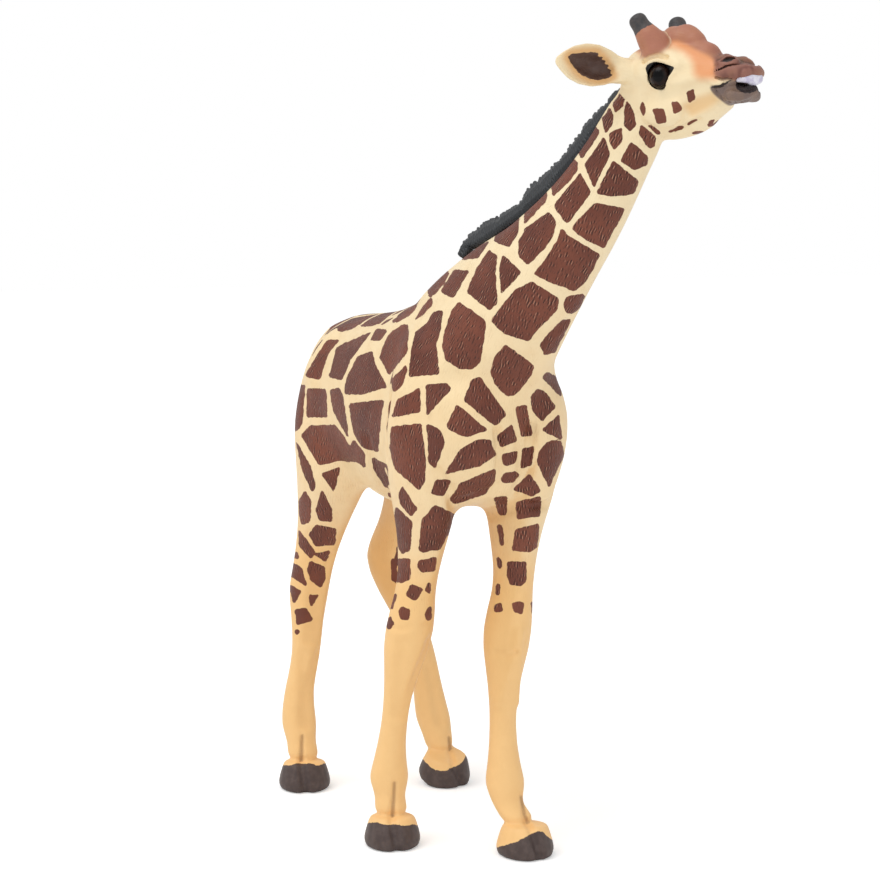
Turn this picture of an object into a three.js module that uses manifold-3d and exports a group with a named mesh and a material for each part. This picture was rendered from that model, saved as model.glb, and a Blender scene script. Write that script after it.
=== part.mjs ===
// Toy giraffe figure: a walking giraffe with its neck stretched up and turned to its left.
// Millimetres. +X is forward along the trunk, +Y is the animal's left, +Z is up, the floor is z = 0.
// The body is a set of soft-vinyl mouldings, plugged into each other by pegs and bonded.

import * as THREE from "three";
import { mergeVertices } from "three/addons/utils/BufferGeometryUtils.js";
import Module from "manifold-3d";

const wasm = await Module();
wasm.setup();
const { Manifold } = wasm;

// Driving dimensions: trunk
const trunkLength = 92;
const trunkWidth = 35;
const trunkDepth = 50;
const trunkHeight = 100.6;
const trunkBend = 2;

// Driving dimensions: neck, from its root inside the chest to its top inside the head
const neckReach = 34.2;
const neckSwing = 22.3;
const neckRise = 61;
const neckWidth = 27;
const neckDepth = 37;
const neckRootTurn = THREE.MathUtils.degToRad(4);
const neckTopTurn = THREE.MathUtils.degToRad(33);

// Driving dimensions: head
const headLength = 30;
const headWidth = 14.6;
const headDepth = 22;
const headTurn = THREE.MathUtils.degToRad(20);
const headLift = THREE.MathUtils.degToRad(1);
const mouthLength = 6;
const mouthGap = 1;
const eyeDiameter = 5.4;
const nostrilLength = 3.4;
const nostrilWidth = 1.5;
const nostrilDepth = 1.6;
const earLength = 17;
const earWidth = 9.6;
const earDepth = 4.2;
const earWall = 1.2;
const hornLength = 9.8;
const hornDiameter = 3.9;
const hornRootDiameter = 7;
const tongueLength = 6;
const tongueWidth = 7;
const tongueThickness = 2;

// Driving dimensions: mane and tail
const maneHeight = 5.6;
const maneThickness = 3.4;
const maneTufts = 22;
const maneTuftDepth = 0.8;
const tailDrop = 62;
const tailDiameter = 3.4;
const tuftLength = 25;
const tuftDiameter = 8;

// Driving dimensions: legs and hooves
const legHeight = 101.6;
const forelegGirth = 10;
const hindlegGirth = 10;
const hoofLength = 15;
const hoofWidth = 13.6;
const hoofHeight = 7;
const hoofCleftWidth = 0.8;
const hoofCleftDepth = 1.6;

// Driving dimensions: pegs that join the mouldings
const clearance = 0.3;
const cutOverrun = 2;
const finestDetail = 0.02;
const legSeatDepth = 3;
const legPegDiameter = 5;
const legPegLength = 6;
const neckPegDiameter = 12;
const neckPegLength = 12;
const headPegDiameter = 5;
const headPegLength = 11.2;
const tailPegDiameter = 2.2;
const tailPegLength = 5;
const earPegDiameter = 1.8;
const earPegLength = 3;
const hornPegDiameter = 2.2;
const hornPegLength = 3;

// Steps round and along the lofted forms
const trunkSteps = { round: 22, along: 16 };
const neckSteps = { round: 18, along: 18 };
const headSteps = { round: 18, along: 18 };
const legSteps = { round: 12, along: 24 };
const hoofSteps = { round: 16, along: 4 };
const earSteps = { round: 12, along: 8 };
const tailSteps = { round: 8, along: 12 };
const ballSteps = { round: 10, along: 6 };

// Smooth interpolation of a table whose rows start with a rising key
function smoothTable(rows) {
  const slopes = rows.map((row, i) => {
    const before = rows[Math.max(i - 1, 0)];
    const after = rows[Math.min(i + 1, rows.length - 1)];
    return row.map((_, c) => (after[c] - before[c]) / (after[0] - before[0]));
  });
  return (key) => {
    const last = rows.length - 2;
    const found = rows.findIndex((row, i) => i > 0 && key <= row[0]);
    const i = found < 0 ? last : found - 1;
    const span = rows[i + 1][0] - rows[i][0];
    const t = THREE.MathUtils.clamp((key - rows[i][0]) / span, 0, 1);
    const keepStart = (1 + 2 * t) * (1 - t) ** 2;
    const leaveStart = t * (1 - t) ** 2 * span;
    const keepEnd = t * t * (3 - 2 * t);
    const leaveEnd = t * t * (t - 1) * span;
    return rows[i]
      .map(
        (v, c) =>
          v * keepStart +
          slopes[i][c] * leaveStart +
          rows[i + 1][c] * keepEnd +
          slopes[i + 1][c] * leaveEnd,
      )
      .slice(1);
  };
}

// One closed ring of an egg-shaped section: half its width, its reach up and down, and how much wider
// its upper half is than its lower half
function eggRing(centre, sideAxis, upAxis, half, up, down, steps, topShare = 0) {
  return Array.from({ length: steps }, (_, i) => {
    const turn = (2 * Math.PI * i) / steps;
    const rise = Math.sin(turn);
    const side = Math.cos(turn) * half * (1 + topShare * rise);
    return centre
      .clone()
      .addScaledVector(sideAxis, side)
      .addScaledVector(upAxis, rise * (rise > 0 ? up : down));
  });
}

// A closed skin over rings of equal length, with a fan over each end
function skin(rings) {
  const round = rings[0].length;
  const points = rings.flat();
  const ends = [rings[0], rings[rings.length - 1]].map((ring) =>
    ring.reduce((sum, p) => sum.add(p), new THREE.Vector3()).divideScalar(round),
  );
  const faces = [];
  for (let r = 0; r < rings.length - 1; r++) {
    for (let i = 0; i < round; i++) {
      const a = r * round + i;
      const b = r * round + ((i + 1) % round);
      faces.push(a, b, a + round, b, b + round, a + round);
    }
  }
  const lastRing = (rings.length - 1) * round;
  for (let i = 0; i < round; i++) {
    const next = (i + 1) % round;
    faces.push(points.length, next, i);
    faces.push(points.length + 1, lastRing + i, lastRing + next);
  }
  const geometry = new THREE.BufferGeometry().setFromPoints([...points, ...ends]);
  return geometry.setIndex(faces);
}

// Solids
function toSolid(geometry) {
  const bare = geometry.clone();
  bare.deleteAttribute("normal");
  bare.deleteAttribute("uv");
  const merged = mergeVertices(bare);
  const build = (triVerts) =>
    new Manifold(
      new wasm.Mesh({ numProp: 3, vertProperties: merged.attributes.position.array, triVerts }),
    );
  const triVerts = new Uint32Array(merged.index.array);
  const solid = build(triVerts);
  return solid.volume() < 0 ? build(triVerts.slice().reverse()) : solid;
}

function toGeometry(solid) {
  const mesh = solid.getMesh();
  const geometry = new THREE.BufferGeometry();
  geometry.setAttribute("position", new THREE.BufferAttribute(mesh.vertProperties, 3));
  geometry.setIndex(new THREE.BufferAttribute(mesh.triVerts, 1));
  geometry.computeVertexNormals();
  return geometry;
}

function union(solids) {
  return solids.reduce((sum, solid) => sum.add(solid));
}

function carve(solid, cutters) {
  return cutters.reduce((left, cutter) => left.subtract(cutter), solid);
}

// A ball stretched to three half sizes, turned, then placed
function ball(centre, halfSizes, turns = [0, 0, 0]) {
  const geometry = new THREE.SphereGeometry(1, ballSteps.round, ballSteps.along);
  geometry.scale(...halfSizes);
  geometry.applyQuaternion(new THREE.Quaternion().setFromEuler(new THREE.Euler(...turns)));
  geometry.translate(...centre);
  return toSolid(geometry);
}

// A round peg from a start point along a direction, with a small lead-in chamfer at its end
const pegChamferShare = 0.25;

function peg(start, direction, diameter, length, grow = 0) {
  const radius = diameter / 2 + grow;
  const end = length + grow;
  const chamfer = pegChamferShare * radius;
  const profile = [
    new THREE.Vector2(0, 0),
    new THREE.Vector2(radius, 0),
    new THREE.Vector2(radius, end - chamfer),
    new THREE.Vector2(radius - chamfer, end),
    new THREE.Vector2(0, end),
  ];
  const geometry = new THREE.LatheGeometry(profile, ballSteps.round);
  const up = new THREE.Vector3(0, 1, 0);
  const turn = new THREE.Quaternion().setFromUnitVectors(up, direction.clone().normalize());
  geometry.applyQuaternion(turn);
  geometry.translate(start.x, start.y, start.z);
  return toSolid(geometry);
}

const leftAxis = new THREE.Vector3(0, 1, 0);
const upAxis = new THREE.Vector3(0, 0, 1);
const forwardAxis = new THREE.Vector3(1, 0, 0);

// Rounds a form's ends: the share of full section at a share of the length
function endRounding(share, startShare, endShare) {
  const fromStart = startShare > 0 ? Math.min(share / startShare, 1) : 1;
  const fromEnd = endShare > 0 ? Math.min((1 - share) / endShare, 1) : 1;
  return Math.sqrt(1 - (1 - fromStart) ** 2) * Math.sqrt(1 - (1 - fromEnd) ** 2);
}

// Shares from 0 to 1, closer together near both ends
const endCrowdingShare = 0.6;

function easedShares(count) {
  return Array.from({ length: count + 1 }, (_, i) => {
    const even = i / count;
    const eased = (1 - Math.cos(Math.PI * even)) / 2;
    return THREE.MathUtils.lerp(even, eased, endCrowdingShare);
  });
}

// Trunk. Columns: place along the trunk, half width, reach up, reach down, sideways bend.
// The places are shares of its length, the widths of its width, the reaches of its depth.
const trunkShares = [
  [-0.5, 0.25, 0.26, 0.16, 1],
  [-0.457, 0.34, 0.36, 0.23, 1],
  [-0.38, 0.43, 0.42, 0.31, 1],
  [-0.27, 0.48, 0.44, 0.38, 0.8],
  [-0.13, 0.5, 0.46, 0.44, 0.4],
  [0, 0.5, 0.49, 0.47, 0],
  [0.13, 0.49, 0.55, 0.45, 0],
  [0.24, 0.47, 0.6, 0.42, 0],
  [0.35, 0.45, 0.58, 0.38, 0],
  [0.435, 0.4, 0.5, 0.33, 0],
  [0.5, 0.3, 0.38, 0.25, 0],
];
const trunkEndShares = [0.06, 0.07];
const trunkEndFlatShare = 0.12;
const trunkTable = smoothTable(trunkShares);

function trunkPlace(alongShare, sideShare, riseShare) {
  return new THREE.Vector3(
    alongShare * trunkLength,
    sideShare * trunkWidth,
    trunkHeight + riseShare * trunkDepth,
  );
}

function trunkForm(grow = 0) {
  const rings = easedShares(trunkSteps.along).map((share) => {
    const along = share - 0.5;
    const [half, up, down, bend] = trunkTable(along);
    const round = Math.max(endRounding(share, ...trunkEndShares), trunkEndFlatShare);
    const centre = trunkPlace(along, 0, 0);
    centre.x += grow * (2 * share - 1);
    centre.y += bend * trunkBend;
    const [aside, above, below] = [half * trunkWidth, up * trunkDepth, down * trunkDepth].map(
      (size) => Math.max(size * round + grow, finestDetail),
    );
    return eggRing(centre, leftAxis, upAxis, aside, above, below, trunkSteps.round);
  });
  return toSolid(skin(rings));
}

// Neck. Columns: place along it, reach forward, swing to the left and rise, as shares of those sizes,
// then half width, reach to the nape and reach to the throat, as shares of its width and depth.
const neckPathShares = [
  [0, 0, 0, 0],
  [0.26, 0.33, 0.15, 0.25],
  [0.46, 0.55, 0.35, 0.44],
  [0.65, 0.73, 0.57, 0.61],
  [0.83, 0.88, 0.79, 0.8],
  [1, 1, 1, 1],
];
const neckSectionShares = [
  [0, 0.48, 0.64, 0.4],
  [0.15, 0.44, 0.61, 0.39],
  [0.3, 0.38, 0.49, 0.365],
  [0.46, 0.32, 0.335, 0.32],
  [0.65, 0.27, 0.255, 0.265],
  [0.83, 0.235, 0.205, 0.215],
  [0.93, 0.225, 0.19, 0.2],
  [1, 0.2, 0.17, 0.17],
];
const neckRootShares = [0.326, 0.057, 0.22];
const neckProbeShare = 0.02;
const neckRoot = trunkPlace(...neckRootShares);
const neckPath = smoothTable(neckPathShares);
const neckSection = smoothTable(neckSectionShares);

function neckPoint(share) {
  const [reach, swing, rise] = neckPath(share);
  return neckRoot
    .clone()
    .add(new THREE.Vector3(reach * neckReach, swing * neckSwing, rise * neckRise));
}

// The neck's axes at a share of its length: along it, to its left, and towards the nape
function neckAxes(share) {
  const before = neckPoint(Math.max(share - neckProbeShare, 0));
  const along = neckPoint(Math.min(share + neckProbeShare, 1)).sub(before).normalize();
  const turn = THREE.MathUtils.lerp(neckRootTurn, neckTopTurn, share);
  const left = new THREE.Vector3(-Math.sin(turn), Math.cos(turn), 0);
  left.addScaledVector(along, -left.dot(along)).normalize();
  const nape = along.clone().cross(left).normalize();
  return { along, left, nape };
}

function neckForm(grow = 0) {
  const rings = Array.from({ length: neckSteps.along + 1 }, (_, i) => {
    const share = i / neckSteps.along;
    const [half, back, throat] = neckSection(share);
    const { left, nape } = neckAxes(share);
    return eggRing(
      neckPoint(share),
      left,
      nape,
      half * neckWidth + grow,
      back * neckDepth + grow,
      throat * neckDepth + grow,
      neckSteps.round,
    );
  });
  return toSolid(skin(rings));
}

// Head, in its own frame: x from the poll to the lips, y to its left, z up. Columns: place along it,
// half width, reach up and down, and how much wider the brow is than the jaw.
const headShares = [
  [-0.12, 0.3, 0.2, 0.22, 0],
  [-0.04, 0.39, 0.28, 0.34, 0.05],
  [0.06, 0.45, 0.33, 0.5, 0.1],
  [0.16, 0.48, 0.35, 0.58, 0.15],
  [0.27, 0.49, 0.35, 0.61, 0.2],
  [0.39, 0.46, 0.33, 0.59, 0.2],
  [0.49, 0.42, 0.31, 0.56, 0.15],
  [0.59, 0.38, 0.26, 0.5, 0.05],
  [0.68, 0.34, 0.19, 0.39, 0],
  [0.78, 0.32, 0.14, 0.28, 0],
  [0.87, 0.3, 0.1, 0.22, 0],
  [0.94, 0.25, 0.05, 0.14, 0],
  [0.98, 0.2, 0, 0.08, 0],
];
const headTable = smoothTable(headShares);
const headStartShare = headShares[0][0];
const headEndShare = headShares.at(-1)[0];
const headEndShares = [0.06, 0.03];
const headEndFlatShare = 0.3;

// The head's origin lies off the neck's top by these shares of the neck's reach, swing and rise
const headSetShares = [-0.01, -0.02, 0.07];
const headFrame = new THREE.Object3D();
headFrame.position.copy(neckPoint(1)).add(
  new THREE.Vector3(
    headSetShares[0] * neckReach,
    headSetShares[1] * neckSwing,
    headSetShares[2] * neckRise,
  ),
);
headFrame.rotation.set(0, -headLift, headTurn, "ZYX");
headFrame.updateMatrix();

function headPlace(alongShare, sideShare, riseShare) {
  return new THREE.Vector3(
    alongShare * headLength,
    sideShare * headWidth,
    riseShare * headDepth,
  );
}

function inFigure(solid) {
  const geometry = toGeometry(solid).applyMatrix4(headFrame.matrix);
  return toSolid(geometry);
}

// Lumps that the head's skin runs over, each with its place along, aside and up and its half sizes
// along, aside and up, all as shares of the head's length, width and depth
const middleLumps = {
  forehead: { placeShares: [0.36, 0, 0.34], halfShares: [0.17, 0.2, 0.13], pitch: 20, roll: 0 },
  lowerLip: { placeShares: [0.785, 0, -0.2], halfShares: [0.14, 0.25, 0.095], pitch: 0, roll: 0 },
  upperLip: { placeShares: [0.855, 0, -0.015], halfShares: [0.145, 0.33, 0.115], pitch: 0, roll: 0 },
};
const sideLumps = {
  brow: { placeShares: [0.24, 0.37, 0.16], halfShares: [0.12, 0.14, 0.12], pitch: 0, roll: 17 },
  eyelid: { placeShares: [0.31, 0.42, 0.09], halfShares: [0.1, 0.08, 0.05], pitch: 8, roll: 0 },
  nostrilRim: { placeShares: [0.8, 0.19, 0.08], halfShares: [0.085, 0.15, 0.07], pitch: 0, roll: 0 },
  cheek: { placeShares: [0.3, 0.33, -0.3], halfShares: [0.2, 0.13, 0.2], pitch: 0, roll: 0 },
};

function headLump({ placeShares, halfShares, pitch, roll }, sign, grow) {
  const turns = [THREE.MathUtils.degToRad(roll * sign), THREE.MathUtils.degToRad(pitch), 0];
  const halfSizes = headPlace(...halfShares).toArray();
  return ball(
    mirrored(placeShares, sign).toArray(),
    halfSizes.map((size) => size + grow),
    turns,
  );
}

function headForm(grow = 0) {
  const rings = easedShares(headSteps.along).map((share) => {
    const along = THREE.MathUtils.lerp(headStartShare, headEndShare, share);
    const [half, up, down, topShare] = headTable(along);
    const round = Math.max(endRounding(share, ...headEndShares), headEndFlatShare);
    const centre = headPlace(along, 0, 0);
    centre.x += grow * (2 * share - 1);
    return eggRing(
      centre,
      leftAxis,
      upAxis,
      half * headWidth * round + grow,
      up * headDepth * round + grow,
      down * headDepth * round + grow,
      headSteps.round,
      topShare,
    );
  });
  const lumps = Object.values(middleLumps).map((lump) => headLump(lump, 1, grow));
  for (const sign of [-1, 1]) {
    lumps.push(...Object.values(sideLumps).map((lump) => headLump(lump, sign, grow)));
  }
  return union([toSolid(skin(rings)), ...lumps]);
}

const eyePlaceShares = [0.3, 0.4, 0];
const earRootShares = [0.02, 0.38, 0.06];
const hornRootShares = [0.24, 0.3, 0.22];
const hornTipShares = [0.1, 0.52, 0.62];
const tonguePlaceShares = [0.93, 0, -0.075];
const mouthRiseShare = -0.14;
const nostrilPlaceShares = [0.83, 0.27, 0.12];
const nostrilTurn = THREE.MathUtils.degToRad(14);

function mirrored([along, side, rise], sign) {
  return headPlace(along, side * sign, rise);
}

function eyeForm(sign, grow = 0) {
  const radius = eyeDiameter / 2 + grow;
  return ball(mirrored(eyePlaceShares, sign).toArray(), [radius, radius, radius]);
}

function tongueForm(grow = 0) {
  const halfSizes = [tongueLength / 2, tongueWidth / 2, tongueThickness / 2];
  return ball(headPlace(...tonguePlaceShares).toArray(), halfSizes.map((size) => size + grow));
}

// The slit between the lips, which widens a little towards the front
function mouthSlit() {
  const outline = new THREE.Shape();
  const front = mouthLength + cutOverrun;
  outline.moveTo(0, 0);
  outline.lineTo(front, -mouthGap);
  outline.lineTo(front, mouthGap);
  outline.closePath();
  const geometry = new THREE.ExtrudeGeometry(outline, { depth: headWidth, bevelEnabled: false });
  geometry.rotateX(Math.PI / 2);
  const tip = headPlace(1, 1 / 2, mouthRiseShare);
  geometry.translate(tip.x - mouthLength, tip.y, tip.z);
  return toSolid(geometry);
}

function nostril(sign) {
  const halfSizes = [nostrilLength / 2, nostrilWidth / 2, nostrilDepth / 2];
  return ball(mirrored(nostrilPlaceShares, sign).toArray(), halfSizes, [0, nostrilTurn, 0]);
}

// Horns: stems that taper up from the brow and end in a blunt knob. Columns: place along the horn,
// then how much of the root's flare and of the stem's width the horn has there.
const hornShares = [
  [0, 1, 1],
  [0.25, 0.66, 1],
  [0.5, 0.23, 1],
  [0.72, 0.05, 1],
  [0.86, 0, 1.08],
  [0.94, 0, 0.92],
  [0.985, 0, 0.55],
];

function hornAxis(sign) {
  const root = mirrored(hornRootShares, sign);
  const direction = mirrored(hornTipShares, sign).sub(root).normalize();
  return { root, direction };
}

function hornForm(sign) {
  const { root, direction } = hornAxis(sign);
  const profile = [new THREE.Vector2(0, 0)];
  for (const [share, flareShare, knobShare] of hornShares) {
    const spread = hornRootDiameter - hornDiameter;
    const width = hornDiameter * knobShare + spread * flareShare;
    profile.push(new THREE.Vector2(width / 2, share * hornLength));
  }
  profile.push(new THREE.Vector2(0, hornLength));
  const geometry = new THREE.LatheGeometry(profile, ballSteps.round);
  geometry.applyQuaternion(new THREE.Quaternion().setFromUnitVectors(leftAxis, direction));
  geometry.translate(root.x, root.y, root.z);
  return toSolid(geometry);
}

function hornPeg(sign, grow = 0) {
  const { root, direction } = hornAxis(sign);
  const start = root.clone().addScaledVector(direction, hornLength / 3);
  const back = direction.clone().negate();
  return peg(start, back, hornPegDiameter, hornLength / 3 + hornPegLength, grow);
}

// Ears: leaf-shaped cups on a narrow root. Columns: place along the ear, half width, depth of the cup
const earShares = [
  [0, 0.2, 0.42],
  [0.12, 0.24, 0.46],
  [0.28, 0.38, 0.5],
  [0.46, 0.49, 0.5],
  [0.62, 0.5, 0.46],
  [0.78, 0.42, 0.36],
  [0.9, 0.27, 0.24],
  [1, 0.08, 0.12],
];
const earStalkShare = 0.16;
const earTable = smoothTable(earShares);
const earAims = { [-1]: [-0.5, -0.85, 0.14], 1: [-0.2, 0.92, 0.06] };
const earCupAims = { [-1]: [0.72, -0.5, -0.1], 1: [0.8, 0.4, -0.1] };

function earAxes(sign) {
  const along = new THREE.Vector3(...earAims[sign]).normalize();
  const cup = new THREE.Vector3(...earCupAims[sign]);
  cup.addScaledVector(along, -cup.dot(along)).normalize();
  const across = along.clone().cross(cup).normalize();
  return { root: mirrored(earRootShares, sign), along, cup, across };
}

function earForm(sign) {
  const { root, along, cup, across } = earAxes(sign);
  const half = earSteps.round / 2;
  const rings = easedShares(earSteps.along).map((share) => {
    const [width, depth] = earTable(share);
    const wide = width * earWidth;
    const deep = depth * earDepth * 2;
    const hollow = share > earStalkShare ? Math.max(deep - earWall, 0) : 0;
    const centre = root.clone().addScaledVector(along, share * earLength);
    return Array.from({ length: earSteps.round }, (_, i) => {
      const outer = i < half;
      const turn = (Math.PI * (outer ? i : earSteps.round - i)) / half;
      const side = Math.cos(turn) * (outer ? wide : Math.max(wide - earWall / 2, wide / 2));
      const back = Math.sin(turn) * (outer ? deep : hollow) - deep / 2;
      return centre.clone().addScaledVector(across, side).addScaledVector(cup, -back);
    });
  });
  return toSolid(skin(rings));
}

function earPeg(sign, grow = 0) {
  const { root, along } = earAxes(sign);
  const start = root.clone().addScaledVector(along, earPegLength);
  return peg(start, along.clone().negate(), earPegDiameter, 2 * earPegLength, grow);
}

// Legs. Each leg's path drops from its place on the trunk. Columns: height, then how far the leg
// stands forward and to the left of that place, all as shares of the leg's height.
const foreSectionShares = [
  // height, half width, reach forward and back, as shares of the girth
  [0.068, 0.47, 0.5, 0.46],
  [0.085, 0.36, 0.4, 0.38],
  [0.11, 0.35, 0.37, 0.4],
  [0.145, 0.48, 0.43, 0.54],
  [0.18, 0.42, 0.4, 0.47],
  [0.24, 0.34, 0.35, 0.38],
  [0.32, 0.32, 0.34, 0.36],
  [0.4, 0.41, 0.42, 0.41],
  [0.45, 0.52, 0.52, 0.47],
  [0.5, 0.57, 0.6, 0.52],
  [0.55, 0.54, 0.56, 0.51],
  [0.62, 0.45, 0.54, 0.54],
  [0.7, 0.5, 0.68, 0.72],
  [0.77, 0.63, 0.83, 0.88],
  [0.84, 0.73, 0.98, 1.02],
  [0.92, 0.8, 1.05, 1.05],
  [1, 0.72, 0.95, 0.92],
  [1.08, 0.55, 0.7, 0.66],
  [1.12, 0.36, 0.4, 0.4],
  [1.14, 0.16, 0.16, 0.16],
];
const hindSectionShares = [
  [0.07, 0.45, 0.49, 0.44],
  [0.09, 0.36, 0.39, 0.37],
  [0.12, 0.39, 0.38, 0.42],
  [0.16, 0.46, 0.43, 0.5],
  [0.2, 0.42, 0.41, 0.44],
  [0.26, 0.37, 0.39, 0.38],
  [0.34, 0.37, 0.38, 0.38],
  [0.42, 0.41, 0.43, 0.43],
  [0.48, 0.48, 0.52, 0.51],
  [0.53, 0.51, 0.56, 0.59],
  [0.58, 0.51, 0.58, 0.57],
  [0.64, 0.56, 0.7, 0.61],
  [0.7, 0.64, 0.86, 0.74],
  [0.77, 0.78, 1.12, 0.92],
  [0.84, 0.88, 1.32, 1.05],
  [0.92, 0.92, 1.4, 1.08],
  [1, 0.86, 1.3, 1],
  [1.08, 0.7, 1, 0.82],
  [1.13, 0.46, 0.66, 0.52],
  [1.16, 0.2, 0.25, 0.2],
];
const legs = [
  {
    name: "foreleg_right",
    hoof: "fore_hoof_right",
    girth: forelegGirth,
    sections: smoothTable(foreSectionShares),
    topShare: foreSectionShares.at(-1)[0],
    placeShares: [0.283, -0.31, 0],
    hoofTurn: THREE.MathUtils.degToRad(-24),
    hoofTilt: 0,
    pathShares: [
      [0.05, -0.068, -0.045],
      [0.15, -0.09, -0.044],
      [0.34, -0.062, -0.036],
      [0.46, -0.04, -0.025],
      [0.74, 0.0, 0.0],
      [0.92, 0, 0],
      [1.14, -0.02, 0.02],
    ],
  },
  {
    name: "foreleg_left",
    hoof: "fore_hoof_left",
    girth: forelegGirth,
    sections: smoothTable(foreSectionShares),
    topShare: foreSectionShares.at(-1)[0],
    placeShares: [0.348, 0.286, 0],
    hoofTurn: THREE.MathUtils.degToRad(-8),
    hoofTilt: 0,
    pathShares: [
      [0.068, 0.072, -0.012],
      [0.1, 0.032, -0.032],
      [0.14, 0.018, -0.032],
      [0.3, 0.005, -0.033],
      [0.5, 0.005, -0.024],
      [0.62, 0.01, -0.01],
      [0.76, 0.006, 0],
      [0.9, 0.018, 0.018],
      [1.02, 0.03, 0.032],
      [1.14, 0.02, 0.02],
    ],
  },
  {
    name: "hindleg_right",
    hoof: "hind_hoof_right",
    girth: hindlegGirth,
    sections: smoothTable(hindSectionShares),
    topShare: hindSectionShares.at(-1)[0],
    placeShares: [-0.348, -0.2286, 0],
    hoofTurn: THREE.MathUtils.degToRad(-24),
    hoofTilt: 0,
    pathShares: [
      [0.05, -0.045, -0.055],
      [0.16, -0.088, -0.053],
      [0.24, -0.088, -0.052],
      [0.34, -0.076, -0.038],
      [0.5, -0.066, -0.033],
      [0.6, -0.03, -0.03],
      [0.8, 0.045, -0.02],
      [0.95, 0.01, 0],
      [1.16, -0.02, 0.03],
    ],
  },
  {
    name: "hindleg_left",
    hoof: "hind_hoof_left",
    girth: hindlegGirth,
    sections: smoothTable(hindSectionShares),
    topShare: hindSectionShares.at(-1)[0],
    placeShares: [-0.348, 0.286, 0],
    hoofTurn: THREE.MathUtils.degToRad(-4),
    hoofTilt: THREE.MathUtils.degToRad(19),
    pathShares: [
      [0.05, 0.074, 0.104],
      [0.16, 0.015, 0.101],
      [0.34, -0.045, 0.09],
      [0.56, -0.125, 0.035],
      [0.66, -0.06, 0.045],
      [0.78, 0.05, 0.035],
      [0.95, 0, 0],
      [1.16, 0, -0.03],
    ],
  },
];

const legFootShare = 0.064;
const legPegShare = 0.92;
const legPegInsetShare = 0.6;
const hoofTurnEndShare = 0.5;

function legPoint(leg, heightShare) {
  const [forward, left] = smoothTable(leg.pathShares)(heightShare);
  const place = trunkPlace(...leg.placeShares);
  return new THREE.Vector3(
    place.x + forward * legHeight,
    place.y + left * legHeight,
    heightShare * legHeight,
  );
}

function legForm(leg, grow = 0) {
  const rings = Array.from({ length: legSteps.along + 1 }, (_, i) => {
    const even = i / legSteps.along;
    const heightShare = THREE.MathUtils.lerp(legFootShare, leg.topShare, even);
    const [half, fore, aft] = leg.sections(heightShare);
    const turn = leg.hoofTurn * THREE.MathUtils.clamp(1 - heightShare / hoofTurnEndShare, 0, 1);
    const ahead = forwardAxis.clone().applyAxisAngle(upAxis, turn);
    const left = leftAxis.clone().applyAxisAngle(upAxis, turn);
    return eggRing(
      legPoint(leg, heightShare),
      left,
      ahead,
      half * leg.girth + grow,
      fore * leg.girth + grow,
      aft * leg.girth + grow,
      legSteps.round,
    );
  });
  return toSolid(skin(rings));
}

function legPeg(leg, grow = 0) {
  const inward = new THREE.Vector3(0, -Math.sign(leg.placeShares[1]), 0);
  const [half] = leg.sections(legPegShare);
  const inset = legPegInsetShare * half * leg.girth;
  const start = legPoint(leg, legPegShare).addScaledVector(inward, -inset);
  return peg(start, inward, legPegDiameter, legSeatDepth + legPegLength, grow);
}

// Hooves: a flat sole, walls that lean in to a coronet that is high at the toe, and a cleft in front
const hoofShares = [
  // rise, half width, reach to the toe and to the heel
  [0, 0.47, 0.5, 0.44],
  [0.12, 0.5, 0.53, 0.46],
  [0.4, 0.48, 0.49, 0.44],
  [0.75, 0.43, 0.42, 0.4],
  [1, 0.385, 0.355, 0.35],
];
const hoofToeRiseShare = 0.2;
const hoofWallLean = THREE.MathUtils.degToRad(16);

function hoofForm(leg, grow = 0) {
  const table = smoothTable(hoofShares);
  const rings = Array.from({ length: hoofSteps.along + 1 }, (_, i) => {
    const share = i / hoofSteps.along;
    const [half, toe, heel] = table(share);
    const rise = share * (hoofHeight + grow);
    const centre = new THREE.Vector3(0, 0, rise);
    const [wide, ahead, behind] = [half * hoofWidth, toe * hoofLength, heel * hoofLength];
    return eggRing(
      centre,
      leftAxis,
      forwardAxis,
      wide + grow,
      ahead + grow,
      behind + grow,
      hoofSteps.round,
    ).map((p) => p.setZ(p.z + (p.x / hoofLength) * hoofToeRiseShare * rise));
  });
  const geometry = skin(rings);
  standHoof(leg, geometry);
  return toSolid(geometry).trimByPlane([0, 0, 1], 0);
}

// Puts a hoof under its leg, and lifts its heel about the front of its sole where it is tilted
function standHoof(leg, geometry) {
  const toe = (hoofShares[0][2] * hoofLength) / 2;
  const foot = legPoint(leg, legFootShare);
  geometry.translate(-toe, 0, 0);
  geometry.rotateY(leg.hoofTilt);
  geometry.translate(toe, 0, 0);
  geometry.rotateZ(leg.hoofTurn);
  geometry.translate(foot.x, foot.y, 0);
}

function hoofCleft(leg) {
  const tall = hoofHeight + 2 * cutOverrun;
  const geometry = new THREE.BoxGeometry(2 * hoofCleftDepth, hoofCleftWidth, tall);
  geometry.rotateY(-hoofWallLean);
  geometry.translate(hoofLength / 2, 0, hoofHeight / 2);
  standHoof(leg, geometry);
  return toSolid(geometry);
}

// Mane: a crest of upright tufts that stands on the nape, from the poll to the withers
const maneStartShare = 0.97;
const maneEndShare = 0.24;
const maneRoundingShares = [0.04, 0.6];
const maneLeastRiseShare = 0.2;
const maneLeastWidthShare = 0.5;
const maneGapNarrowingShare = 0.25;
const maneRound = 8;

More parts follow.
